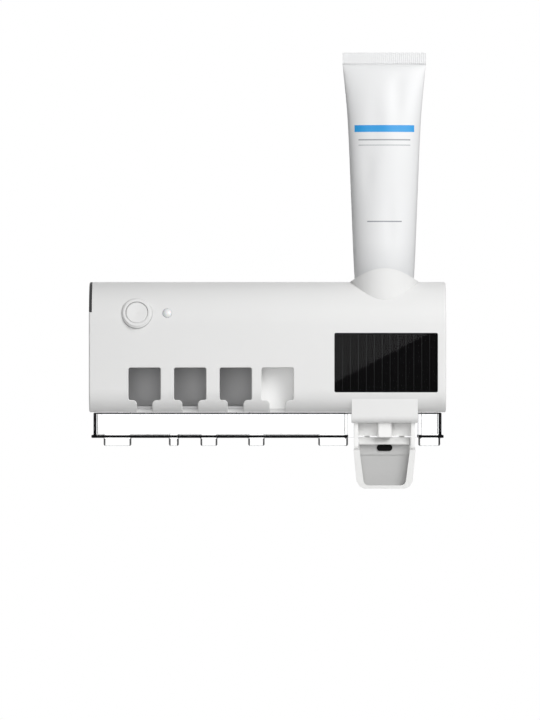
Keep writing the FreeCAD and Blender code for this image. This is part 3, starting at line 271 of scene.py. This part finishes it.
def put(tree, kind, inputs=None, **settings):
    """Add a shader node. An input that is a socket is linked, and any other is set."""
    made = tree.nodes.new("ShaderNode" + kind)
    for name, value in settings.items():
        setattr(made, name, value)
    for key, value in (inputs or {}).items():
        if isinstance(value, bpy.types.NodeSocket):
            tree.links.new(value, made.inputs[key])
        else:
            made.inputs[key].default_value = value
    return made


def maths(tree, operation, first, second=0.0):
    return put(tree, "Math", {0: first, 1: second}, operation=operation).outputs[0]


def distance(tree, first, second):
    return maths(tree, "ABSOLUTE", maths(tree, "SUBTRACT", first, second))


def between(tree, value, low, high):
    """A mask that is 1 where a value lies between two others."""
    above = maths(tree, "GREATER_THAN", value, low)
    return maths(tree, "MULTIPLY", above, maths(tree, "LESS_THAN", value, high))


def ramp(tree, value, low, high, start, end):
    """A number that goes from start to end as a value goes from low to high."""
    inputs = {"Value": value, "From Min": low, "From Max": high, "To Min": start, "To Max": end}
    return put(tree, "MapRange", inputs).outputs[0]


def mixed(tree, mask, first, second):
    """A colour that goes from the first to the second as the mask goes from 0 to 1."""
    return put(tree, "Mix", {0: mask, 6: first, 7: second}, data_type="RGBA").outputs[2]


def new_group(name, inputs, outputs):
    """An empty node group with named sockets. Returns the group, its input sockets and its output node's."""
    group = bpy.data.node_groups.new(name, "ShaderNodeTree")
    for label, kind, default in inputs:
        made = group.interface.new_socket(label, in_out="INPUT", socket_type="NodeSocket" + kind)
        made.default_value = default
    for label, kind in outputs:
        group.interface.new_socket(label, in_out="OUTPUT", socket_type="NodeSocket" + kind)
    entry = group.nodes.new("NodeGroupInput")
    leave = group.nodes.new("NodeGroupOutput")
    return group, entry.outputs, leave.inputs


def moulded_skin():
    """Colour drift, satin roughness and fine grain of a moulded surface, in the object's own space."""
    found = bpy.data.node_groups.get("Moulded Skin")
    if found:
        return found
    sockets = [("Color", "Color", (0.8, 0.8, 0.8, 1)), ("Drift", "Float", 0.03), ("Grain", "Float", 1200.0)]
    sockets += [("Satin", "Float", 0.35), ("Spread", "Float", 0.08)]
    results = [("Color", "Color"), ("Roughness", "Float"), ("Height", "Float")]
    group, given, gives = new_group("Moulded Skin", sockets, results)
    place = put(group, "TexCoord").outputs["Object"]
    cloud = put(group, "TexNoise", {"Vector": place, "Scale": CLOUD_SCALE, "Detail": 3.0}).outputs[0]
    dark = maths(group, "MULTIPLY", maths(group, "SUBTRACT", cloud, 0.5), given["Drift"])
    level = maths(group, "ADD", 1.0, dark)
    tone = put(group, "VectorMath", {0: given["Color"], "Scale": level}, operation="SCALE").outputs[0]
    grain = put(group, "TexNoise", {"Vector": place, "Scale": given["Grain"], "Detail": 1.0}).outputs[0]
    haze = put(group, "TexNoise", {"Vector": place, "Scale": HAZE_SCALE, "Detail": 2.0}).outputs[0]
    swing = maths(group, "MULTIPLY", maths(group, "SUBTRACT", haze, 0.5), given["Spread"])
    group.links.new(tone, gives["Color"])
    group.links.new(maths(group, "ADD", given["Satin"], swing), gives["Roughness"])
    group.links.new(grain, gives["Height"])
    return group


def line_comb():
    """A mask of fine lines at an even pitch along one axis, and a wave that rises and falls between them."""
    found = bpy.data.node_groups.get("Line Comb")
    if found:
        return found
    sockets = [("Along", "Float", 0.0), ("Start", "Float", 0.0)]
    sockets += [("Pitch", "Float", 0.006), ("Width", "Float", 0.0003)]
    group, given, gives = new_group("Line Comb", sockets, [("Line", "Float"), ("Wave", "Float")])
    run = maths(group, "SUBTRACT", given["Along"], given["Start"])
    step = maths(group, "DIVIDE", run, given["Pitch"])
    off = distance(group, maths(group, "FRACT", maths(group, "ADD", step, 0.5)), 0.5)
    near = maths(group, "MULTIPLY", off, given["Pitch"])
    line = maths(group, "LESS_THAN", near, maths(group, "MULTIPLY", given["Width"], 0.5))
    group.links.new(line, gives["Line"])
    group.links.new(maths(group, "MULTIPLY", off, 2.0), gives["Wave"])
    return group


def comb(tree, along, pitch, width, start=0.0):
    inputs = {"Along": along, "Start": start, "Pitch": pitch, "Width": width}
    return put(tree, "Group", inputs, node_tree=line_comb()).outputs


def blank(name, **values):
    """A material with its Principled shader's sockets set. Returns the material, its tree and its shader."""
    material = bpy.data.materials.new(name)
    material.use_nodes = True
    tree = material.node_tree
    shader = next(n for n in tree.nodes if n.type == "BSDF_PRINCIPLED")
    for label, value in values.items():
        shader.inputs[label.replace("_", " ")].default_value = value
    return material, tree, shader


def skin_on(tree, shader, tint, drift=0.03, grain=1200.0, satin=0.35, spread=0.08, depth=0.00002):
    """Lay the moulded skin on a shader. The tint is a colour or a socket."""
    base = tint if isinstance(tint, bpy.types.NodeSocket) else (*tint, 1)
    inputs = {"Color": base, "Drift": drift, "Grain": grain, "Satin": satin, "Spread": spread}
    skin = put(tree, "Group", inputs, node_tree=moulded_skin()).outputs
    tree.links.new(skin["Color"], shader.inputs["Base Color"])
    tree.links.new(skin["Roughness"], shader.inputs["Roughness"])
    bump = put(tree, "Bump", {"Height": skin["Height"], "Strength": GRAIN_STRENGTH, "Distance": depth})
    tree.links.new(bump.outputs[0], shader.inputs["Normal"])


def moulding(name, tint, satin=0.35, drift=0.03, grain=1200.0, spread=0.08, depth=0.00002, **values):
    material, tree, shader = blank(name, **values)
    skin_on(tree, shader, tint, drift, grain, satin, spread, depth)
    return material


def steel(name, satin):
    return moulding(name, STEEL, satin=satin, drift=0.15, grain=3000.0, Metallic=1.0)


def place_axes(tree):
    """The X, Y and Z of a point in the object's own space."""
    place = put(tree, "TexCoord").outputs["Object"]
    return put(tree, "SeparateXYZ", {0: place}).outputs


def give(material, *nodes):
    """Put one material on CAD nodes, in place of those they came with."""
    for name in nodes:
        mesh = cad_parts[name].data
        mesh.materials.clear()
        mesh.materials.append(material)


def new_object(name, mesh, *materials):
    mesh.materials.clear()
    for material in materials:
        mesh.materials.append(material)
    made = bpy.data.objects.new(name, mesh)
    bpy.context.scene.collection.objects.link(made)
    return made


def copied_mesh(node, name):
    """A copy of a CAD node's mesh under a name of its own."""
    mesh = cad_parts[node].data.copy()
    mesh.name = name
    return mesh


# Pieces


class DISPENSER_OT_casing(bpy.types.Operator):
    """Finish the casing, its end caps, the collar and the wall plate"""

    bl_idname = "dispenser.casing"
    bl_label = "Casing"

    def execute(self, context):
        looks = context.scene.casing_looks
        grain = 1 / looks.peel
        finish = {"IOR": PLASTIC_IOR, "Specular_IOR_Level": looks.shine}
        white = moulding("white_moulding", looks.white, satin=looks.satin, grain=grain, **finish)
        give(white, "front_shell", "rear_cover", "left_end_cap", "right_end_cap", "tube_collar")
        give(moulding("plate_moulding", looks.plate, satin=0.5, grain=grain), "wall_plate")
        foam = moulding("pad_foam", (0.7, 0.69, 0.66), satin=0.85, drift=0.2, grain=2500.0, depth=0.0002)
        give(foam, "adhesive_pad")
        flap = moulding("flap_rubber", (0.018, 0.018, 0.019), satin=0.6, drift=0.3, grain=2200.0)
        give(flap, "port_cover")
        return {"FINISHED"}


class DISPENSER_OT_bays(bpy.types.Operator):
    """Finish the grey liner, the bay, paled as painted light, and the lamps"""

    bl_idname = "dispenser.bays"
    bl_label = "Bays"

    def execute(self, context):
        looks = context.scene.casing_looks
        give(moulding("liner_moulding", looks.liner, satin=0.42, drift=0.1, grain=1500.0), "bay_liner")
        # Painted light: the bay's paler white makes up for the shade inside it
        give(moulding("bay_moulding", looks.bay, satin=0.45), "shallow_bay")
        give(moulding("lamp_ceramic", (0.7, 0.69, 0.6), satin=0.3), "uv_lamps")
        return {"FINISHED"}


class DISPENSER_OT_controls(bpy.types.Operator):
    """Finish the button, its ring and the indicator"""

    bl_idname = "dispenser.controls"
    bl_label = "Controls"

    def execute(self, context):
        looks = context.scene.casing_looks
        give(moulding("ring_gloss", looks.white, satin=0.2, spread=0.04, IOR=PLASTIC_IOR), "button_ring")
        give(moulding("cap_satin", looks.white, satin=0.36, IOR=PLASTIC_IOR), "button_cap")
        milky = {"Subsurface_Weight": 0.15, "Subsurface_Scale": 0.002, "IOR": PLASTIC_IOR}
        give(moulding("lens_frosted", (0.86, 0.86, 0.87), satin=0.24, **milky), "indicator_lens")
        give(moulding("led_resin", (0.75, 0.78, 0.8), satin=0.12), "indicator_led")
        give(moulding("switch_body", (0.03, 0.03, 0.03), satin=0.4, drift=0.2), "tact_switch")
        return {"FINISHED"}


class DISPENSER_OT_panel(bpy.types.Operator):
    """Finish the solar panel: clear front, black cell with fine lines, dark carrier"""

    bl_idname = "dispenser.panel"
    bl_label = "Solar panel"

    def execute(self, context):
        self.sheet()
        give(self.cell(context.scene.panel_looks), "solar_cell")
        give(moulding("carrier_moulding", (0.05, 0.05, 0.05), satin=0.5, drift=0.1), "panel_carrier")
        return {"FINISHED"}

    def sheet(self):
        """The panel's clear front, with a hair of air behind it, so that light passes onto the cell."""
        glass, tree, shader = blank("panel_glass", Alpha=0.35, IOR=1.5, Roughness=0.0)
        place = put(tree, "TexCoord").outputs["Object"]
        cloud = put(tree, "TexNoise", {"Vector": place, "Scale": 40.0}).outputs[0]
        tone = mixed(tree, cloud, (0.003, 0.003, 0.0032, 1), (0.005, 0.005, 0.0053, 1))
        tree.links.new(tone, shader.inputs["Base Color"])
        mesh = copied_mesh("solar_glass", "clear_front")
        for vertex in mesh.vertices:
            if vertex.co.y > cell_low.y - GLASS_AIR:
                vertex.co.y -= GLASS_AIR
        front = new_object("clear_front", mesh, glass)
        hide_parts("solar_glass")
        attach(front, "casing")

    def cell(self, looks):
        cell, tree, shader = blank("panel_cell", Specular_IOR_Level=0.0)
        pitch = (cell_high.x - cell_low.x) / looks.cells
        lines = comb(tree, place_axes(tree)[0], pitch, looks.line_width, start=cell_low.x)
        strip = maths(tree, "MULTIPLY", lines["Wave"], STRIP_SHARE)
        paler = (*(STRIP_GAIN * c for c in looks.black), 1)
        tone = mixed(tree, strip, (*looks.black, 1), paler)
        skin_on(tree, shader, mixed(tree, lines["Line"], tone, (*looks.line, 1)), drift=0.2, satin=0.6)
        return cell


class DISPENSER_OT_mechanism(bpy.types.Operator):
    """Finish the dispenser's frame, lever, nozzle and pump"""

    bl_idname = "dispenser.mechanism"
    bl_label = "Dispenser"

    def execute(self, context):
        looks = context.scene.casing_looks
        # Painted light: the frame and nozzle get the paler mouth white, for the shade under the hood
        white = moulding("lever_moulding", looks.mouth, satin=0.3, grain=1 / looks.peel, IOR=PLASTIC_IOR)
        give(white, "dispenser_frame", "outlet_nozzle")
        give(self.scoop(looks), "push_lever")
        dull = {"satin": 0.6, "drift": 0.3, "grain": 2600.0, "Specular_IOR_Level": 0.08}
        give(moulding("pad_rubber", (0.003, 0.003, 0.003), **dull), "press_pad")
        give(moulding("pump_moulding", (0.66, 0.67, 0.68), satin=0.5), "pump_body", "pump_plunger")
        soft = moulding("soft_silicone", (0.5, 0.5, 0.5), satin=0.6, drift=0.1, Subsurface_Weight=0.1)
        give(soft, "inlet_seal", "inlet_valve", "outlet_valve")
        give(moulding("ring_rubber", (0.02, 0.02, 0.02), satin=0.6, drift=0.2), "piston_ring")
        return {"FINISHED"}

    def scoop(self, looks):
        """The lever's moulding, with painted shade, a darker grey, on the inside of its scoop."""
        material, tree, shader = blank("scoop_moulding", IOR=PLASTIC_IOR)
        x, y, z = place_axes(tree)
        middle = (lever_low.x + lever_high.x) / 2
        inside = maths(tree, "LESS_THAN", distance(tree, x, middle), SCOOP_HALF)
        inside = maths(tree, "MULTIPLY", inside, between(tree, z, lever_low.z + SCOOP_FLOOR, SCOOP_TOP))
        behind = maths(tree, "GREATER_THAN", y, lever_low.y + SCOOP_RIM)
        inside = maths(tree, "MULTIPLY", inside, behind)
        # Painted shade: the inside of the scoop is mixed to the darker scoop grey
        tone = mixed(tree, inside, (*looks.lever, 1), (*looks.scoop, 1))
        skin_on(tree, shader, tone, satin=0.3, grain=1 / looks.peel)
        return material


class DISPENSER_OT_inside(bpy.types.Operator):
    """Finish the boards, the battery and the metal pieces inside"""

    bl_idname = "dispenser.inside"
    bl_label = "Inner pieces"

    def execute(self, context):
        board, tree, shader = blank("board_lacquer")
        axes = place_axes(tree)
        across = comb(tree, axes[0], pitch=0.0031, width=0.0006)["Line"]
        along = comb(tree, axes[2], pitch=0.0047, width=0.0005)["Line"]
        track = maths(tree, "MAXIMUM", across, along)
        skin_on(tree, shader, mixed(tree, track, (0.01, 0.11, 0.045, 1), (0.03, 0.2, 0.08, 1)), satin=0.3)
        give(board, "control_board", "port_board", "uv_board")
        sleeve, tree, shader = blank("battery_sleeve")
        ring = comb(tree, place_axes(tree)[0], pitch=0.0325, width=0.002)["Line"]
        skin_on(tree, shader, mixed(tree, ring, (0.03, 0.12, 0.4, 1), (0.6, 0.6, 0.62, 1)), satin=0.3)
        give(sleeve, "battery")
        give(moulding("cradle_moulding", (0.06, 0.06, 0.06), satin=0.5, drift=0.1), "battery_cradle")
        metal = steel("plain_steel", satin=0.28)
        give(metal, "case_screws", "pump_screws", "board_screws", "lever_pin", "charge_port")
        return {"FINISHED"}


class DISPENSER_OT_spring(bpy.types.Operator):
    """Make the return spring under the pump, from a copy of the CAD node's mesh"""

    bl_idname = "dispenser.spring"
    bl_label = "Return spring"

    def execute(self, context):
        mesh = copied_mesh("return_spring", "coil_spring")
        spring = new_object("coil_spring", mesh, steel("spring_steel", satin=0.25))
        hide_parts("return_spring")
        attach(spring, "casing")
        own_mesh(spring)
        return {"FINISHED"}


def smooth_between(stops, at):
    """The value at a height, on a smooth curve through (height, value) stops."""
    last = len(stops) - 2
    i = next((k for k in range(last + 1) if at <= stops[k + 1][0]), last)
    (z0, v0), (z1, v1) = stops[i], stops[i + 1]
    before = stops[max(i - 1, 0)]
    after = stops[min(i + 2, last + 1)]
    slope0 = (v1 - before[1]) / (z1 - before[0])
    slope1 = (after[1] - v0) / (after[0] - z0)
    span = z1 - z0
    t = (at - z0) / span
    a = 2 * t ** 3 - 3 * t ** 2 + 1
    b = t ** 3 - 2 * t ** 2 + t
    return a * v0 + b * span * slope0 + (1 - a) * v1 + (t ** 3 - t ** 2) * span * slope1


def tube_rings(shape):
    """Heights above the shoulder with the tube's half width and half depth, flattening to the seam."""
    full = shape.round_radius * math.pi / 2
    tall = tube_high.z - tube_low.z - shape.crimp_height
    stops = [(0.0, shape.round_radius), *TUBE_STOPS, (tall, full)]
    rings = []
    for i in range(TUBE_RINGS + 1):
        rise = tall * i / TUBE_RINGS
        wide = smooth_between(stops, rise)
        left = max(0.0, (full - wide) / (full - shape.round_radius))
        deep = shape.crimp_half + (shape.round_radius - shape.crimp_half) * left ** FLATTENING
        rings.append((rise, wide, deep))
    return rings


def dent(across, rise):
    """How far the laminate is pressed in at a point of the tube."""
    depth = 0.0
    for u, z, deep in DENTS:
        depth += deep * math.exp(-((across - u) / DENT_ACROSS) ** 2 - ((rise - z) / DENT_TALL) ** 2)
    return depth


class DISPENSER_OT_tube(bpy.types.Operator):
    """Make the laminate tube: a round shoulder end that flattens into a ribbed seam"""

    bl_idname = "dispenser.tube"
    bl_label = "Refill tube"

    def execute(self, context):
        shape = context.scene.tube_shape
        tube = new_object("refill_tube", self.build(shape), self.finish(shape))
        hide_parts("paste_tube")
        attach(tube, "refill")
        give(moulding("shoulder_moulding", (0.8, 0.8, 0.8), satin=0.3), "tube_shoulder")
        return {"FINISHED"}

    def build(self, shape):
        centre = (tube_low + tube_high) / 2
        work = bmesh.new()
        loops = []
        for rise, wide, deep in tube_rings(shape):
            loop = []
            for k in range(TUBE_AROUND):
                turn = 2 * math.pi * k / TUBE_AROUND
                c, s = math.cos(turn), math.sin(turn)
                press = dent(c, rise) if s < 0 else DENT_BACK * dent(-c, rise)
                push = max(0.0, deep - press * min(1.0, deep / DENT_FADE))
                loop.append(work.verts.new((centre.x + wide * c, centre.y + push * s, tube_low.z + rise)))
            loops.append(loop)
        for low, high in zip(loops[:-1], loops[1:]):
            for k in range(TUBE_AROUND):
                n = (k + 1) % TUBE_AROUND
                work.faces.new((low[k], low[n], high[n], high[k]))
        work.faces.new(list(reversed(loops[0])))
        work.faces.new(loops[-1])
        self.seam(work, shape, centre)
        for face in work.faces:
            face.smooth = len(face.verts) == 4
        mesh = bpy.data.meshes.new("refill_tube")
        work.to_mesh(mesh)
        work.free()
        return mesh

    def seam(self, work, shape, centre):
        """The flat end with its upright ribs, front and back, closed at the top, foot and sides."""
        half = shape.round_radius * math.pi / 2
        foot = tube_high.z - shape.crimp_height - SEAM_OVERLAP
        steps = round(2 * half / shape.rib_pitch) * RIB_STEPS
        levels = (foot, foot + RIB_END, tube_high.z - RIB_END, tube_high.z - SEAM_TOP_GAP)
        rows = []
        for side in (-1, 1):
            for level, lift in zip(levels, (0.0, 1.0, 1.0, 0.0)):
                row = []
                for k in range(steps + 1):
                    wave = RIB_HEIGHT * lift * math.cos(2 * math.pi * k / RIB_STEPS)
                    x = centre.x - half + 2 * half * k / steps
                    row.append(work.verts.new((x, centre.y + side * (shape.crimp_half + wave), level)))
                rows.append(row)
        front, back = rows[:4], rows[4:]
        rings = front + back[::-1] + front[:1]
        for low, high in zip(rings[:-1], rings[1:]):
            for k in range(steps):
                work.faces.new((low[k], low[k + 1], high[k + 1], high[k]))
        for k, flip in ((0, 1), (steps, -1)):
            end = [row[k] for row in front] + [row[k] for row in back[::-1]]
            work.faces.new(end[::flip])

    def finish(self, shape):
        material, tree, shader = blank("tube_laminate", IOR=1.45, Coat_Weight=0.08, Coat_Roughness=0.3)
        axes = place_axes(tree)
        rise = maths(tree, "SUBTRACT", axes[2], tube_low.z)
        front = maths(tree, "LESS_THAN", axes[1], (tube_low.y + tube_high.y) / 2)
        run = distance(tree, axes[0], (tube_low.x + tube_high.x) / 2)
        grey = (*shape.print_and_shade_grey, 1)

        def stripe(height, thick, reach):
            inside = maths(tree, "LESS_THAN", distance(tree, rise, height), thick / 2)
            within = maths(tree, "LESS_THAN", run, reach)
            return maths(tree, "MULTIPLY", maths(tree, "MULTIPLY", inside, within), front)

        band = stripe(shape.band_height, shape.band_width, BAND_REACH)
        tone = mixed(tree, band, (*shape.laminate, 1), (*shape.band, 1))
        for drop, thick, reach in PRINT_LINES:
            tone = mixed(tree, stripe(shape.band_height - drop, thick, reach), tone, grey)
        # Painted shade: the tube is darkened towards the print grey where it goes into the collar
        near_collar = ramp(tree, rise, COLLAR_LOW, COLLAR_HIGH, COLLAR_SHADE, 0.0)
        tone = mixed(tree, near_collar, tone, grey)
        skin_on(tree, shader, tone, drift=0.02, grain=500.0, satin=0.45, spread=0.1, depth=0.00003)
        return material


class DISPENSER_OT_tray(bpy.types.Operator):
    """Make the clear tray with softened, darker cut edges"""

    bl_idname = "dispenser.tray"
    bl_label = "Clear tray"

    def execute(self, context):
        looks = context.scene.tray_looks
        mesh = copied_mesh("drip_tray", "clear_tray")
        work = bmesh.new()
        work.from_mesh(mesh)
        bmesh.ops.remove_doubles(work, verts=work.verts, dist=1e-6)
        bmesh.ops.dissolve_limit(work, angle_limit=math.radians(1), verts=work.verts, edges=work.edges)
        for face in work.faces:
            face.smooth = False
            face.material_index = 0
        work.to_mesh(mesh)
        work.free()
        clear = self.clear("tray_clear", looks.clear, looks)
        tray = new_object("clear_tray", mesh, clear, self.clear("tray_edge", looks.edge, looks))
        bevel = tray.modifiers.new("softened", "BEVEL")
        bevel.width = looks.edge_width
        bevel.segments = 1
        bevel.limit_method = "ANGLE"
        bevel.angle_limit = math.radians(50)
        bevel.material = 1
        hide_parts("drip_tray")
        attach(tray, "tray")
        return {"FINISHED"}

    def clear(self, name, tint, looks):
        """Clear plastic with painted shade, dark in colour and reflection: floor, rim line, end walls and
        sides of the lip's tabs.
        """
        material, tree, shader = blank(name, Transmission_Weight=1.0, IOR=1.46)
        axes = place_axes(tree)
        x, z = axes[0], axes[2]
        inset = MASK_INSET
        slab = tray_low.z + looks.floor_drop
        top = slab + looks.height
        end = tray_high.x - looks.ledge
        # Painted shade: a mask of the floor, end walls, rim line and the tabs' sides, which get the dark tint
        mask = between(tree, z, slab + inset, slab + looks.wall - inset)
        mouth = between(tree, x, TABS[-2][1], TABS[-1][0])
        mask = maths(tree, "MULTIPLY", mask, maths(tree, "SUBTRACT", 1.0, mouth))
        walls = between(tree, maths(tree, "ABSOLUTE", x), end - looks.wall + inset, end - inset)
        mask = maths(tree, "MAXIMUM", mask, walls)
        line = between(tree, z, top - looks.rim_shade_line, top - inset)
        mask = maths(tree, "MAXIMUM", mask, line)
        hanging = maths(tree, "MULTIPLY", maths(tree, "LESS_THAN", z, slab - inset), TAB_WEIGHT)
        for x0, x1 in TABS:
            left = between(tree, x, x0 + inset, x0 + TAB_SIDE)
            sides = maths(tree, "MAXIMUM", left, between(tree, x, x1 - TAB_SIDE, x1 - inset))
            mask = maths(tree, "MAXIMUM", mask, maths(tree, "MULTIPLY", sides, hanging))
        dark = (*looks.dark, 1)
        # Painted shade also darkens the reflection under the mask
        tree.links.new(mixed(tree, mask, (1, 1, 1, 1), dark), shader.inputs["Specular Tint"])
        tone = mixed(tree, mask, (*tint, 1), dark)
        skin_on(tree, shader, tone, drift=0.02, grain=400.0, satin=0.04, spread=0.04, depth=0.000004)
        return material


# Stage


def area_lamp(name, energy, size, place, target):
    data = bpy.data.lights.new(name, "AREA")
    data.energy = energy
    data.shape = "DISK"
    data.size = size
    lamp = bpy.data.objects.new(name, data)
    lamp.location = place
    lamp.rotation_euler = (Vector(target) - Vector(place)).to_track_quat("-Z", "Y").to_euler()
    bpy.context.scene.collection.objects.link(lamp)
    return lamp


def flat_piece(name, corners, material):
    mesh = bpy.data.meshes.new(name)
    mesh.from_pydata(corners, [], [list(range(len(corners)))])
    made = new_object(name, mesh, material)
    return made


def seen_directly(tree, path):
    """A mask that is 1 for what the camera sees, also through clear plastic."""
    return maths(tree, "MAXIMUM", path["Is Camera Ray"], path["Is Transmission Ray"])


class DISPENSER_OT_stage(bpy.types.Operator):
    """Set the camera, the light, the floor and the white surroundings"""

    bl_idname = "dispenser.stage"
    bl_label = "Stage"

    def execute(self, context):
        looks = context.scene.stage_looks
        context.scene.view_settings.view_transform = "Standard"
        camera = self.camera(context, looks)
        self.world(context, looks)
        area_lamp("key_lamp", looks.key, *KEY_LAMP)
        area_lamp("fill_lamp", looks.fill, *FILL_LAMP)
        behind = area_lamp("back_lamp", looks.back, *BACK_LAMP)
        behind.visible_camera = False
        behind.visible_glossy = False
        behind.visible_transmission = False
        corners = []
        for k in range(FLOOR_CORNERS):
            turn = 2 * math.pi * k / FLOOR_CORNERS
            corners.append((FLOOR_RADIUS * math.cos(turn), FLOOR_RADIUS * math.sin(turn), FLOOR_HEIGHT))
        flat_piece("floor", corners, self.paint(looks))
        self.cards(looks, camera)
        return {"FINISHED"}

    def paint(self, looks):
        """The floor's paint, paled where it is seen, because the lamps are aimed at the object."""
        material, tree, shader = blank("floor_paint", Emission_Color=(1, 1, 1, 1))
        skin_on(tree, shader, looks.floor, satin=0.7)
        seen = seen_directly(tree, put(tree, "LightPath").outputs)
        tree.links.new(maths(tree, "MULTIPLY", seen, looks.floor_lift), shader.inputs["Emission Strength"])
        return material

    def camera(self, context, looks):
        scale = looks.millimetres_per_pixel / 1000
        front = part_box("front_shell")[0].y
        data = bpy.data.cameras.new("camera")
        data.sensor_width = SENSOR
        data.lens = SENSOR * looks.distance / (PICTURE_HEIGHT * scale)
        data.clip_end = 100.0
        camera = bpy.data.objects.new("camera", data)
        across = (PICTURE_WIDTH / 2 - ORIGIN_X) * scale
        camera.location = (across, front - looks.distance, (ORIGIN_Y - PICTURE_HEIGHT / 2) * scale)
        camera.rotation_euler = (math.radians(90), 0, 0)
        context.scene.collection.objects.link(camera)
        context.scene.camera = camera
        return camera

    def world(self, context, looks):
        """A room that looks white, lights the object less from below and is mirrored darker from below."""
        world = bpy.data.worlds.new("white_room")
        world.use_nodes = True
        tree = world.node_tree
        tree.nodes.clear()
        path = put(tree, "LightPath").outputs
        direct = seen_directly(tree, path)
        seen = maths(tree, "MAXIMUM", direct, path["Is Glossy Ray"])
        height = put(tree, "SeparateXYZ", {0: put(tree, "TexCoord").outputs["Generated"]}).outputs[2]
        level = ramp(tree, height, *ROOM_RISE, ROOM_BELOW * looks.ambient, looks.ambient)
        room = put(tree, "Background", {"Color": (1, 1, 1, 1), "Strength": level})
        shown = maths(tree, "MAXIMUM", ramp(tree, height, *MIRROR_RISE, MIRROR_BELOW, 1.0), direct)
        white = put(tree, "Background", {"Color": (1, 1, 1, 1), "Strength": shown})
        both = put(tree, "MixShader", {0: seen, 1: room.outputs[0], 2: white.outputs[0]})
        put(tree, "OutputWorld", {0: both.outputs[0]})
        context.scene.world = world

    def cards(self, looks, camera):
        """Two cards that the panel's glass mirrors: a grey one and, over its lower right half, a dark one."""
        pixel = looks.millimetres_per_pixel / 1000 * (1 + CARD_AWAY / looks.distance)
        left = camera.location.x - PICTURE_WIDTH / 2 * pixel
        top = camera.location.z + PICTURE_HEIGHT / 2 * pixel
        for name, level, y, outline in CARDS:
            material = bpy.data.materials.new(name)
            material.use_nodes = True
            tree = material.node_tree
            tree.nodes.clear()
            glow = put(tree, "Emission", {"Color": (level, level, level, 1), "Strength": 1.0})
            put(tree, "OutputMaterial", {0: glow.outputs[0]})
            corners = [(left + px * pixel, y, top - py * pixel) for px, py in outline]
            card = flat_piece(name, corners, material)
            card.visible_camera = False
            card.visible_diffuse = False
            card.visible_shadow = False
            card.visible_transmission = False


OPERATORS = (
    DISPENSER_OT_casing,
    DISPENSER_OT_bays,
    DISPENSER_OT_controls,
    DISPENSER_OT_panel,
    DISPENSER_OT_mechanism,
    DISPENSER_OT_inside,
    DISPENSER_OT_spring,
    DISPENSER_OT_tube,
    DISPENSER_OT_tray,
    DISPENSER_OT_stage,
)


class DISPENSER_PT_looks(bpy.types.Panel):
    """Lists the pieces and the stage"""

    bl_idname = "DISPENSER_PT_looks"
    bl_label = "Toothpaste Dispenser"
    bl_space_type = "VIEW_3D"
    bl_region_type = "UI"
    bl_category = "Dispenser"

    def draw(self, context):
        for operator in OPERATORS:
            self.layout.operator(operator.bl_idname)
        for name in SETTINGS:
            group = getattr(context.scene, name)
            for prop in group.bl_rna.properties:
                if prop.identifier not in ("rna_type", "name"):
                    self.layout.prop(group, prop.identifier)


CLASSES = (*SETTINGS.values(), *OPERATORS, DISPENSER_PT_looks)


def register():
    for kind in CLASSES:
        bpy.utils.register_class(kind)
    for name, kind in SETTINGS.items():
        setattr(bpy.types.Scene, name, PointerProperty(type=kind))


def unregister():
    for name in SETTINGS:
        delattr(bpy.types.Scene, name)
    for kind in reversed(CLASSES):
        bpy.utils.unregister_class(kind)


def main():
    register()
    bpy.ops.dispenser.casing()
    bpy.ops.dispenser.bays()
    bpy.ops.dispenser.controls()
    bpy.ops.dispenser.panel()
    bpy.ops.dispenser.mechanism()
    bpy.ops.dispenser.inside()
    bpy.ops.dispenser.spring()
    bpy.ops.dispenser.tube()
    bpy.ops.dispenser.tray()
    bpy.ops.dispenser.stage()


if __name__ == "__main__":
    main()
